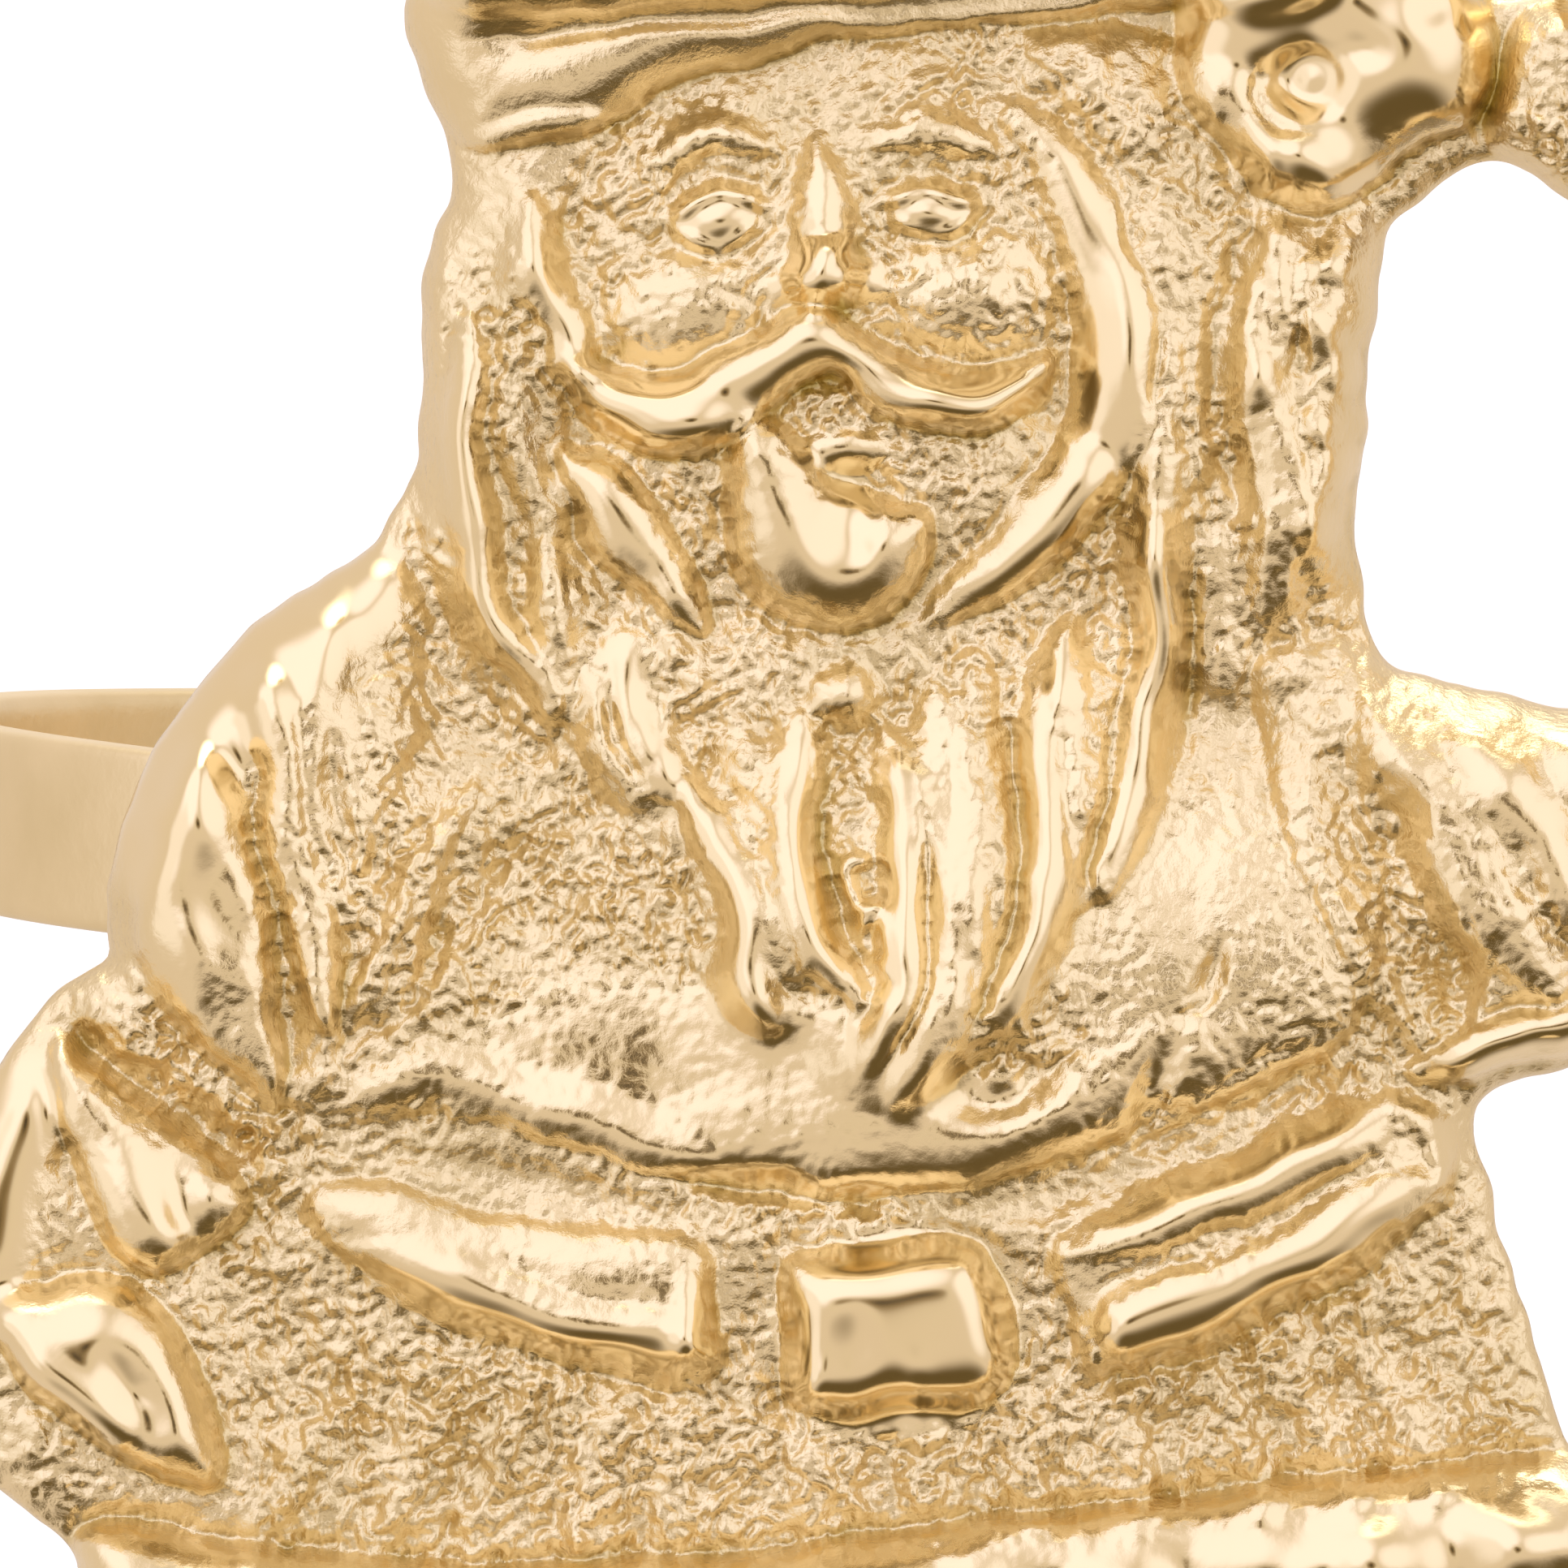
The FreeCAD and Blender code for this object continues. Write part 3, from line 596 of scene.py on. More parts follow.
# ---- Belt and buckle ---------------------------------------------------------------------------
# Two rounded straps of the casting, with firm lower rims, run to a plain cushion-shaped buckle. The
# buckle stands in a small hollow, and it and the rims were polished bright before plating.
BELT_LEFT = [
    (-13.4, -5.9), (-12.2, -5.7), (-9.2, -6.8), (-6.4, -7.3), (-4.2, -7.8), (-4.1, -9.4),
    (-4.1, -10.9), (-5.6, -10.6), (-7.8, -9.9), (-10.2, -8.9), (-12.3, -7.8), (-13.4, -6.9),
]
BELT_RIGHT = [
    (4.2, -8.0), (7.0, -7.3), (10.6, -6.0), (12.4, -5.2), (13.3, -5.9), (13.5, -7.9), (10.8, -9.3),
    (7.8, -10.6), (4.5, -11.4), (4.3, -9.8),
]
slab(BELT_LEFT, 0.62, 2.2, shine=0.9)
slab(BELT_RIGHT, 0.50, 1.8, shine=0.5)
strand([(-12.8, -7.4), (-10.2, -8.5), (-7.4, -9.6), (-4.6, -10.35)],
       2.0, 0.40, power=1.0, tips=(0.3, 0.02), shine=1.0)
strand([(-11.4, -8.9), (-8.6, -10.1), (-6.2, -11.0), (-4.2, -11.5)],
       0.6, -0.35, power=1.1, tips=(0.3, 0.05))
strand([(-4.55, -10.6), (-4.6, -9.4), (-4.5, -8.3)],
       0.9, 0.34, power=0.9, tips=(0.05, 0.3), shine=1.0)
strand([(-9.4, -8.0), (-7.4, -8.7), (-5.3, -9.2)], 0.9, -0.16, power=1.0)
strand([(4.9, -10.6), (7.8, -9.9), (10.8, -8.6), (13.2, -7.2)],
       2.3, 0.50, power=1.0, tips=(0.05, 0.25), shine=1.0)
strand([(4.4, -11.9), (7.8, -11.0), (10.8, -9.8), (13.0, -8.5)],
       0.6, -0.35, power=1.1, tips=(0.1, 0.3))
strand([(4.6, -8.3), (7.2, -7.6), (10.5, -6.4), (12.4, -5.4)],
       1.6, 0.42, power=1.2, tips=(0.3, 0.2), shine=0.9)
strand([(5.2, -9.2), (8.2, -8.4), (11.4, -6.9)], 0.8, -0.16, power=1.0)
strand([(12.4, -5.4), (13.3, -6.2), (13.5, -7.6)], 0.9, 0.2, power=0.9, tips=(0.3, 0.3), shine=0.7)
BUCKLE = [
    (-2.0, -8.15), (0.2, -8.05), (2.2, -8.1), (2.6, -8.8), (2.75, -10.0), (2.85, -11.1),
    (2.3, -11.75), (0.3, -11.85), (-1.7, -12.0), (-2.4, -11.5), (-2.3, -10.0), (-2.5, -8.7),
]
swell(0.25, -10.1, 4.4, 3.6, -0.14, power=0.8)
slab(BUCKLE, 0.95, 1.1, shine=1.0, gutter=0.05)
swell(0.25, -10.1, 3.4, 3.0, 0.22, power=1.2, shine=1.0)
swell(-0.9, -10.3, 0.7, 1.3, -0.16, power=1.4, shine=1.0)

# ---- Hem ---------------------------------------------------------------------------------------
# The fleece trim of the coat is a lumpy roll in the same casting, polished on top and undercut where
# it meets the skirt. Its lumps lie in two rows, each pushed a little off its place.
HEM = [
    (-19.3, -13.6), (-14.6, -14.5), (-7.9, -15.3), (-2.1, -15.1), (5.6, -14.6), (15.8, -14.1),
    (17.0, -15.4), (16.2, -17.6), (10.0, -18.6), (3.0, -19.2), (-6.0, -19.2), (-14.0, -18.8),
    (-19.0, -18.0), (-19.8, -16.0),
]
slab(HEM, 1.05, 1.7, shine=0.95, gutter=0.16)
LUMP_STEP = 1.9
lump_places = np.random.default_rng(5)
for across in np.arange(-18.2, 16.6, LUMP_STEP):
    up = -15.9 - 0.9 * math.cos(across / 14.0)
    for row in (0.1, -1.7):
        off_place = lump_places.uniform(-0.4, 0.4, 5)
        middle = (across + 1.5 * off_place[0] + row * 0.4, up + row + off_place[1])
        half_sizes = (1.5 + 0.8 * off_place[2], 1.15 + 0.6 * off_place[3])
        swell(*middle, *half_sizes, 0.26 + 0.3 * off_place[4], turn=60 * off_place[1])

# ---- Boots -------------------------------------------------------------------------------------
# Two round-toed boots under the hem, cast with the figure, with a welt along the sole and two folds
# at the ankle. The two are mirror images, so one outline makes both.
BOOT = [
    (-14.2, -19.2), (-13.9, -21.4), (-14.8, -24.0), (-13.6, -25.6), (-9.0, -26.0), (-4.0, -25.9),
    (-1.4, -25.3), (-0.9, -22.6), (-1.0, -19.2), (-7.0, -18.4),
]
for side in (-1.0, 1.0):
    slab([(side * across, up) for across, up in BOOT], 0.40, 1.8, shine=0.45)
    swell(side * 7.8, -23.7, 6.0, 2.6, 0.95, turn=side * 3.0, power=0.9, shine=0.95)
    strand([(side * 14.2, -25.2), (side * 9.0, -25.7), (side * 1.4, -25.2)],
           0.9, 0.35, power=0.8, tips=(0.1, 0.1), shine=0.9, gutter=0.08)
    for fold in (20.7, 21.9):
        strand([(side * 2.0, -fold), (side * 6.4, 0.4 - fold), (side * 12.6, -0.2 - fold)],
               1.1, 0.26, power=1.1, shine=0.5)

# ---- Arm that hangs down, its mitten and the sack -----------------------------------------------
# The sleeve has deep soft folds, and ends in a fleece cuff. A plain mitten closes on the gathered neck
# of a sack. All of it is one brass casting with the coat, polished on the fullest forms.
SLEEVE_DOWN = [
    (-10.2, 8.6), (-11.9, 8.4), (-14.2, 7.0), (-16.3, 4.8), (-17.5, 2.4), (-17.9, -0.2),
    (-16.6, -1.6), (-14.6, -3.8), (-13.0, -3.8), (-12.2, -0.6), (-11.3, 2.4), (-10.0, 5.0),
]
slab(SLEEVE_DOWN, 0.40, 2.2, shine=0.1)
strand([(-10.4, 9.2), (-12.6, 7.4), (-14.9, 5.4), (-16.4, 3.2), (-17.3, 0.8)],
       3.4, 0.25, power=1.2, tips=(0.1, 0.2), shine=1.0)
SLEEVE_LOBE = [
    (-15.6, 5.0), (-16.6, 3.2), (-17.3, 0.6), (-16.9, -1.3), (-15.4, -3.0), (-14.3, -4.2),
    (-13.9, -3.2), (-14.0, -1.2), (-14.1, 1.0), (-14.5, 3.4),
]
slab(SLEEVE_LOBE, 0.85, 2.3, shine=1.0)
swell(-15.3, 1.1, 0.75, 1.9, -0.20, turn=12.0)
swell(-14.85, 1.3, 0.45, 1.0, 0.10, turn=12.0, shine=0.5)
strand([(-15.5, 0.0), (-15.1, -1.4), (-14.4, -3.6)], 1.1, -0.26, power=1.3, tips=(0.4, 0.2))
SLEEVE_BAND = [
    (-14.4, 6.4), (-14.1, 4.0), (-13.9, 1.8), (-13.4, -0.6), (-12.9, -2.4), (-12.3, -1.4),
    (-12.4, 0.6), (-12.9, 2.6), (-13.1, 4.6), (-13.5, 6.4),
]
slab(SLEEVE_BAND, 0.55, 1.2, shine=0.85)
lock([(-12.0, 7.6), (-12.6, 5.2), (-12.2, 2.6), (-11.8, 0.2)],
     1.5, 0.42, shine=0.45, tips=(0.3, 0.35))
lock([(-10.9, 6.6), (-10.9, 3.8), (-10.9, 1.4)], 1.2, 0.25, shine=0.2, tips=(0.3, 0.35))
strand([(-13.9, 0.6), (-13.7, -1.6), (-13.5, -3.6)], 1.2, -0.50, power=1.6, tips=(0.5, 0.2))
strand([(-12.2, 5.0), (-12.3, 2.8), (-11.9, 0.6)], 0.6, -0.45, power=1.1, tips=(0.3, 0.3))
SACK = [
    (-20.0, -3.0), (-18.0, -4.8), (-16.0, -7.6), (-15.6, -10.6), (-16.0, -13.0), (-18.6, -13.4),
    (-20.9, -12.8), (-22.1, -9.4), (-21.8, -6.0),
]
slab(SACK, 0.25, 2.0, shine=0.1)
strand([(-19.4, -2.2), (-20.6, -4.4), (-21.2, -7.0), (-21.0, -9.4)],
       3.2, 0.22, power=1.2, tips=(0.2, 0.3), shine=1.0)
swell(-18.6, -8.0, 1.9, 1.2, -0.10, turn=-30.0, shine=0.3)
MITTEN_PALM = [
    (-19.4, -2.2), (-18.4, -2.5), (-17.0, -4.0), (-15.4, -5.2), (-14.9, -6.0), (-15.4, -7.0),
    (-16.8, -7.7), (-18.0, -7.2), (-18.9, -5.4),
]
slab(MITTEN_PALM, 1.00, 2.0, shine=1.0, gutter=0.06)
swell(-16.5, -6.1, 0.55, 1.5, -0.30, turn=14.0, power=1.6)
swell(-16.5, -6.9, 0.35, 0.3, 0.14, shine=1.0)
SACK_NECK = [
    (-21.4, -8.6), (-19.6, -7.9), (-17.9, -7.9), (-16.7, -9.4), (-15.9, -11.8), (-16.4, -12.9),
    (-18.0, -12.4), (-20.0, -10.8),
]
slab(SACK_NECK, 0.95, 1.8, shine=1.0, gutter=0.06)
strand([(-20.9, -9.2), (-19.7, -10.3), (-18.2, -11.8)],
       1.3, 0.30, power=1.3, tips=(0.15, 0.3), shine=1.0)
swell(-17.9, -10.6, 0.6, 1.6, -0.36, turn=28.0, power=1.6)
swell(-17.8, -10.9, 0.3, 0.4, 0.14, turn=28.0, shine=0.6)
CUFF_DOWN = [
    (-18.8, -0.7), (-17.4, -0.5), (-16.0, -2.4), (-14.2, -4.2), (-14.6, -5.1), (-16.8, -3.6),
    (-18.7, -1.8),
]
slab(CUFF_DOWN, 0.30, 0.9, grain=2.0)
strand([(-18.9, -1.9), (-17.0, -3.3), (-14.8, -5.1)], 0.8, -0.60, power=1.0, tips=(0.1, 0.1))

# ---- Raised arm --------------------------------------------------------------------------------
# The sleeve falls from the shoulder to the elbow and turns up to a fleece cuff and a mitten. It is
# cast with the coat, and between it and the hair the casting is open right through.
SLEEVE_UP = [
    (9.6, 5.0), (11.6, 5.4), (13.2, 4.5), (15.0, 4.0), (17.0, 3.4), (18.4, 4.4), (18.9, 7.0),
    (18.9, 11.0), (18.6, 14.6), (20.6, 15.2), (22.8, 14.4), (23.1, 8.4), (23.1, 2.6), (21.8, -1.8),
    (19.4, -4.1), (16.6, -4.8), (14.4, -5.2), (12.2, -3.4), (10.8, -0.6), (9.8, 2.2),
]
slab(SLEEVE_UP, 0.50, 2.4, shine=0.15)
lock([(12.2, 4.0), (13.6, 1.4), (15.0, -1.2), (16.4, -3.4)], 1.5, 0.55, shine=0.6, tips=(0.25, 0.3))
SLEEVE_FOLDS = [
    ([(14.4, 3.6), (15.8, 0.8), (17.6, -2.4)], 1.4, 0.55),
    ([(16.4, 3.2), (18.2, 0.9), (19.9, -1.6)], 1.4, 0.50),
    ([(18.6, 3.4), (20.2, 2.0), (21.8, 0.0)], 1.3, 0.46),
    ([(19.4, 6.0), (21.0, 5.2), (22.6, 5.2)], 1.2, 0.44),
    ([(19.3, 9.0), (21.0, 8.2), (22.6, 8.4)], 1.2, 0.42),
    ([(19.4, 12.0), (21.0, 11.4), (22.5, 11.8)], 1.2, 0.40),
]
for path, width, rise in SLEEVE_FOLDS:
    lock(path, width, rise, shine=0.8, tips=(0.25, 0.25))
strand([(11.2, 3.0), (12.2, 0.4), (13.2, -2.0), (14.2, -3.8)],
       1.7, -0.70, power=1.0, tips=(0.3, 0.15))
swell(12.9, 1.6, 0.6, 1.1, -0.3, turn=20.0)
swell(14.0, -2.6, 0.6, 1.2, -0.4, turn=20.0)
strand([(14.9, 1.4), (16.0, -0.8), (17.2, -2.6)], 0.7, -0.36, power=0.9, tips=(0.3, 0.2))
strand([(12.6, -4.7), (14.6, -4.35), (16.8, -3.9), (19.2, -3.0), (20.8, -1.4)],
       1.3, 0.50, power=0.8, tips=(0.2, 0.3), shine=1.0, gutter=0.10)
CUFF_UP = [
    (16.3, 18.6), (16.1, 16.9), (17.2, 15.9), (18.8, 15.0), (21.0, 15.3), (23.0, 15.0),
    (23.6, 17.0), (23.2, 19.2), (21.0, 19.9), (18.6, 20.2), (17.0, 20.0),
]
slab(CUFF_UP, 0.85, 1.4, gutter=0.12, grain=2.0)
MITTEN_UP = [
    (18.2, 20.2), (18.1, 22.6), (19.2, 25.0), (20.6, 26.2), (22.2, 25.2), (23.0, 22.8),
    (22.8, 20.2), (20.6, 20.6),
]
slab(MITTEN_UP, 0.85, 1.8, shine=0.9, gutter=0.12)
strand([(18.4, 20.8), (17.9, 22.4), (18.5, 23.7)],
       1.4, 0.40, power=0.6, tips=(0.1, 0.2), shine=0.95, gutter=0.12)

# ---- Hair --------------------------------------------------------------------------------------
# Long waving hair falls to the shoulders on both sides of the face, cast with the head. Its step onto
# the shoulder fades out downwards, and a few polished locks stand over the cast ones.
HAIR_LEFT = [
    (-8.6, 18.4), (-9.3, 15.8), (-9.7, 12.8), (-9.9, 10.4), (-9.6, 8.0), (-8.6, 5.8), (-7.2, 4.2),
    (-6.4, 6.4), (-6.4, 9.0), (-6.2, 12.0), (-6.4, 16.0), (-5.0, 19.2),
]
slab(HAIR_LEFT, 0.40, 1.6)
HAIR_RIGHT = [
    (5.0, 20.2), (6.6, 17.0), (6.8, 12.0), (6.6, 8.0), (7.4, 4.4), (9.0, 3.6), (11.0, 4.6),
    (12.0, 6.4), (12.2, 9.2), (12.7, 12.0), (13.0, 14.8), (12.4, 17.0), (9.0, 19.8),
]
HAIR_RISE = 0.40
hair_depth = depth_inside(HAIR_RIGHT)
above_shoulder = np.clip((V - 3.5) / 5.0, 0.0, 1.0)
relief = relief + HAIR_RISE * roundover(hair_depth, 1.6) * above_shoulder
LEFT_LOCKS = [
    ([(-8.4, 14.6), (-8.8, 10.8), (-8.4, 7.6), (-7.4, 6.0), (-7.0, 4.6)], 0.8, 0.70, 0.95),
    ([(-7.2, 17.6), (-7.5, 14.0), (-7.4, 11.0), (-6.9, 8.4)], 0.7, 0.24, 0.0),
    ([(-9.0, 16.6), (-9.4, 13.6), (-9.6, 10.8), (-9.4, 8.2)], 0.7, 0.20, 0.2),
]
RIGHT_LOCKS = [
    ([(8.4, 17.0), (8.2, 14.2), (7.9, 11.0), (7.9, 7.6), (7.8, 4.4)], 1.3, 0.26, 0.1),
    ([(10.9, 15.6), (10.8, 14.2), (10.2, 12.4), (10.5, 10.6), (10.5, 8.6), (10.0, 5.8)],
     1.6, 0.55, 0.55),
    ([(12.2, 15.2), (12.2, 13.4), (12.0, 11.4), (11.8, 9.0), (11.4, 6.6)], 1.4, 0.42, 0.35),
    ([(7.6, 11.6), (7.6, 8.4), (7.3, 5.4), (6.8, 2.6)], 1.1, 0.34, 0.7),
    ([(9.0, 8.4), (8.9, 6.2), (8.8, 4.2)], 1.1, 0.22, 0.4),
]
for path, width, rise, shine in LEFT_LOCKS + RIGHT_LOCKS:
    lock(path, width, rise, shine=shine)
strand([(10.0, 15.4), (9.4, 13.2), (9.2, 11.2), (9.6, 8.8)], 1.0, -0.50, power=1.4, tips=(0.3, 0.3))
CURLS = [(12.0, 14.4), (11.9, 12.9), (12.3, 11.9), (11.6, 10.6), (12.0, 9.6), (11.4, 8.2)]
for across, up in CURLS:
    swell(across, up, 0.55, 0.65, 0.22, turn=30.0 * up, power=1.2, shine=0.7)
strand([(11.4, 13.6), (11.2, 11.4), (11.2, 8.8)], 0.5, -0.35, power=1.2, tips=(0.3, 0.3))
strand([(8.5, 8.0), (8.2, 5.6), (7.9, 3.0)], 0.4, -0.36, power=0.9, tips=(0.3, 0.3))
swell(10.2, 11.9, 0.5, 0.8, 0.25, shine=0.9)

# ---- Beard -------------------------------------------------------------------------------------
# The beard hangs from a polished rim round the cheeks and ends in long locks over the belly, all cast
# with the head. Bright locks are raised first, and dull furrows are then cut between them.
BEARD = [
    (-6.6, 10.6), (-7.2, 7.0), (-6.8, 4.4), (-5.4, 2.2), (-4.2, 0.2), (-3.2, -2.2), (-1.8, -3.2),
    (-0.2, -4.8), (1.6, -4.4), (3.0, -3.2), (4.4, -1.4), (5.8, 0.2), (6.6, 3.0), (7.2, 6.0),
    (7.0, 9.6), (3.0, 12.0), (-3.0, 12.0),
]
beard_depth = slab(BEARD, 0.30, 1.6)
BEARD_LOCKS = [
    ([(-6.6, 9.0), (-6.6, 6.4), (-5.9, 4.2), (-5.0, 2.4)], 0.9, 0.45, 0.5),
    ([(-5.3, 7.0), (-5.2, 5.0), (-4.5, 3.4), (-3.8, 2.6)], 0.8, 0.46, 0.95),
    ([(-4.0, 3.2), (-3.2, 1.4), (-2.8, 0.0), (-2.8, -1.4), (-2.4, -3.0)], 0.75, 0.60, 0.95),
    ([(-2.9, 4.6), (-2.2, 2.4), (-2.0, 0.2), (-1.6, -1.8)], 0.8, 0.35, 0.3),
    ([(-1.3, 4.8), (-1.4, 1.6), (-1.1, -0.9), (-0.2, -2.4)], 0.7, 0.62, 0.95),
    ([(0.9, 4.2), (1.1, 1.6), (0.9, -1.2), (0.4, -2.8), (-0.1, -3.9)], 0.75, 0.62, 0.95),
    ([(1.9, 5.2), (2.2, 1.8), (2.1, -1.0), (1.5, -3.2), (0.6, -5.0)], 1.0, 0.56, 0.7),
    ([(3.0, 5.8), (3.1, 3.2), (3.0, 0.6), (2.7, -1.2)], 0.8, 0.36, 0.2),
    ([(5.4, 6.4), (4.8, 3.8), (4.4, 1.0), (3.8, -1.4), (2.8, -3.4)], 1.0, 0.70, 0.95),
    ([(6.2, 6.4), (5.9, 3.8), (5.4, 1.6)], 0.7, 0.30, 0.3),
    ([(7.6, 9.0), (7.4, 6.4), (7.0, 4.0), (6.3, 1.4), (5.6, -0.2)], 0.8, 0.62, 0.95),
    ([(-4.4, 8.0), (-4.0, 6.2), (-3.2, 4.8)], 0.9, 0.25, 0.1),
]
for path, width, rise, shine in BEARD_LOCKS:
    lock(path, 1.25 * width, rise, shine=shine, tips=(0.15, 0.2))
BEARD_FURROWS = [
    ([(-0.75, 3.8), (-0.8, 1.6), (-0.6, -0.4), (0.1, -1.6)], 0.5, -0.55),
    ([(-5.9, 5.4), (-5.5, 4.0), (-4.9, 3.0)], 0.5, -0.45),
    ([(-3.6, 1.4), (-3.4, -0.4), (-3.2, -1.6)], 0.5, -0.30),
    ([(4.0, 4.2), (3.7, 1.8), (3.4, -0.8), (2.4, -3.0)], 0.5, -0.60),
    ([(6.8, 7.4), (6.7, 4.8), (6.0, 2.2), (5.2, 0.2)], 0.45, -0.50),
    ([(1.5, 2.6), (1.6, 0.2), (1.3, -2.0), (0.5, -3.8)], 0.4, -0.50),
    ([(5.1, 4.6), (5.0, 2.4), (4.9, 0.4)], 0.4, -0.30),
]
for path, width, rise in BEARD_FURROWS:
    strand(path, width, rise, power=0.9)
strand([(0.3, 1.2), (-0.3, 0.8), (-0.2, 0.0), (0.4, 0.1)],
       0.4, 0.34, power=0.8, tips=(0.1, 0.1), shine=0.7)
strand([(-0.2, -0.5), (0.3, -0.1), (0.5, -0.8), (0.2, -1.6)],
       0.45, 0.34, power=0.8, tips=(0.1, 0.1), shine=0.8)

# ---- Face --------------------------------------------------------------------------------------
# A calm, plain face of the modeller's own: eyes half way up the head and one eye's width apart, and
# a straight nose. It is cast with the head, in the same brass, and polished like the hair round it.
FACE_MIDDLE = 0.1
EYE_LINE = 16.4
EYE_APART = 2.55
swell(FACE_MIDDLE, 15.4, 6.4, 5.4, 0.30, power=0.8)
strand([(-0.1, 18.4), (0.1, 16.6), (0.1, 14.8)], 1.7, 0.55, power=1.1, tips=(0.6, 0.0), shine=0.85)
swell(FACE_MIDDLE, 14.95, 1.1, 1.0, 0.45, shine=1.0)


def face_stroke(side, points, width, rise, power, fade, shine):
    """A ridge on one half of the face, its points given from the middle and from the eye line."""
    path = [(FACE_MIDDLE + side * across, EYE_LINE + up) for across, up in points]
    strand(path, width, rise, power, (fade, fade), shine)


for side in (-1.0, 1.0):
    eye = FACE_MIDDLE + side * EYE_APART
    swell(FACE_MIDDLE + side * 0.9, 14.7, 0.65, 0.6, 0.22, shine=0.9)
    swell(eye, EYE_LINE, 1.75, 1.3, -0.32, power=1.2)
    swell(eye, EYE_LINE, 1.15, 0.72, 0.55, turn=side * -4.0, power=0.9, shine=0.95)
    face_stroke(side, [(1.25, 0.1), (2.4, 0.66), (3.85, 0.0)], 0.5, 0.22, 0.8, 0.2, 0.85)
    face_stroke(side, [(1.4, -0.15), (2.5, -0.66), (3.7, -0.1)], 0.4, 0.16, 0.8, 0.2, 0.75)
    face_stroke(side, [(1.1, 1.65), (2.6, 1.95), (4.2, 1.35)], 1.2, 0.32, 1.1, 0.35, 0.6)
    swell(FACE_MIDDLE + side * 3.5, 14.4, 2.1, 1.6, 0.38, turn=side * -10.0, power=1.2, shine=0.5)
swell(0.0, 10.75, 1.3, 0.5, 0.30, power=0.8, shine=0.85)

# The cheek rims, the moustache and the tuft under it are raised firmly and polished.
lock([(-6.9, 17.2), (-6.7, 15.3), (-6.1, 13.9), (-6.2, 12.7)],
     0.9, 0.66, shine=0.95, tips=(0.35, 0.1))
CHEEK_LEAF = [
    (-6.6, 11.2), (-6.2, 9.6), (-5.1, 7.9), (-3.2, 6.5), (-3.2, 7.6), (-3.8, 8.9), (-4.3, 10.0),
    (-5.4, 11.0),
]
slab(CHEEK_LEAF, 0.55, 1.1, shine=1.0, gutter=0.08)
strand([(4.6, 18.8), (6.0, 17.0), (6.9, 14.2), (6.9, 12.0), (6.2, 10.0), (4.5, 8.2), (2.0, 6.5)],
       2.0, 0.60, power=1.1, tips=(0.3, 0.25), shine=0.95, gutter=0.05, skew=-0.2)
swell(6.5, 12.6, 0.8, 1.9, 0.18, shine=0.95)
MOUSTACHE = [
    (-6.2, 13.3), (-5.0, 13.1), (-3.6, 12.8), (-2.2, 13.5), (-0.7, 14.2), (0.2, 14.1), (0.9, 13.5),
    (2.3, 12.7), (4.0, 12.4), (5.2, 12.9), (5.3, 12.4), (4.5, 11.5), (3.5, 11.0), (1.8, 11.2),
    (0.8, 11.8), (0.1, 12.6), (-0.9, 12.3), (-2.4, 11.3), (-3.3, 10.9), (-4.8, 11.2), (-6.0, 12.2),
]
slab(MOUSTACHE, 0.92, 0.95, power=2.5, shine=1.0, gutter=0.02)
swell(-4.2, 12.0, 2.0, 1.0, 0.22, turn=-4.0, power=1.2, shine=1.0)
swell(3.6, 11.9, 2.0, 0.9, 0.20, turn=4.0, power=1.2, shine=1.0)
TUFT = [
    (-2.5, 11.2), (-2.6, 9.6), (-2.4, 8.2), (-1.6, 7.0), (-0.3, 6.5), (1.2, 6.9), (2.1, 8.0),
    (2.3, 9.3), (1.0, 9.7), (-0.3, 10.3), (-1.2, 11.5), (-1.9, 11.9),
]
slab(TUFT, 1.00, 1.9, shine=1.0, gutter=0.06)
swell(0.1, 9.1, 1.0, 1.7, -0.34, turn=-12.0, power=1.6, shine=1.0)
swell(0.4, 8.4, 0.35, 0.5, -0.12, turn=30.0, power=1.2)
swell(-0.3, 5.0, 0.9, 0.7, 0.45, power=0.8, shine=0.7)

# ---- Cap ---------------------------------------------------------------------------------------
# A soft cap with a turned-up brim falls to one side and ends in a lumpy bobble, which was polished
# to a mirror. The cap is the top of the casting, and the bobble hangs over the hair.
CAP = [
    (-9.0, 21.8), (-7.6, 25.0), (-4.4, 28.0), (0.0, 29.6), (4.2, 29.2), (8.0, 27.2), (11.2, 24.2),
    (13.4, 22.2), (11.0, 20.4), (4.0, 22.0), (-4.0, 21.6),
]
slab(CAP, 0.75, 3.0, shine=0.85)
BRIM = [
    (-9.6, 22.4), (-9.6, 20.4), (-8.5, 18.6), (-6.9, 18.3), (-4.6, 19.0), (-2.3, 19.9), (1.0, 20.5),
    (4.9, 20.7), (8.8, 20.8), (10.2, 22.2), (9.2, 24.4), (4.0, 25.0), (-2.0, 24.8), (-6.6, 24.2),
]
slab(BRIM, 1.00, 2.2, shine=0.5, grain=0.15)
strand([(-9.0, 22.2), (-5.6, 22.6), (0.0, 22.9), (5.0, 23.0), (9.0, 22.8)],
       3.4, 0.24, power=1.4, tips=(0.05, 0.1), shine=0.6)
strand([(-8.2, 20.9), (-5.7, 21.15), (-2.4, 21.3), (1.3, 21.3), (4.9, 21.35), (8.4, 21.4)],
       0.8, -0.45, power=1.3, tips=(0.6, 0.15))
strand([(-8.0, 20.0), (-6.2, 20.1), (-4.0, 20.6), (-1.0, 21.1), (3.0, 21.3)],
       2.4, 0.12, power=1.4, tips=(0.2, 0.5))
lock([(-2.0, 26.8), (3.0, 27.6), (7.6, 25.6), (11.0, 22.6)], 1.6, 0.45, tips=(0.4, 0.3))
strand([(-5.4, 25.6), (0.0, 26.4), (5.6, 25.8)], 1.3, -0.50, power=1.0, tips=(0.4, 0.4))
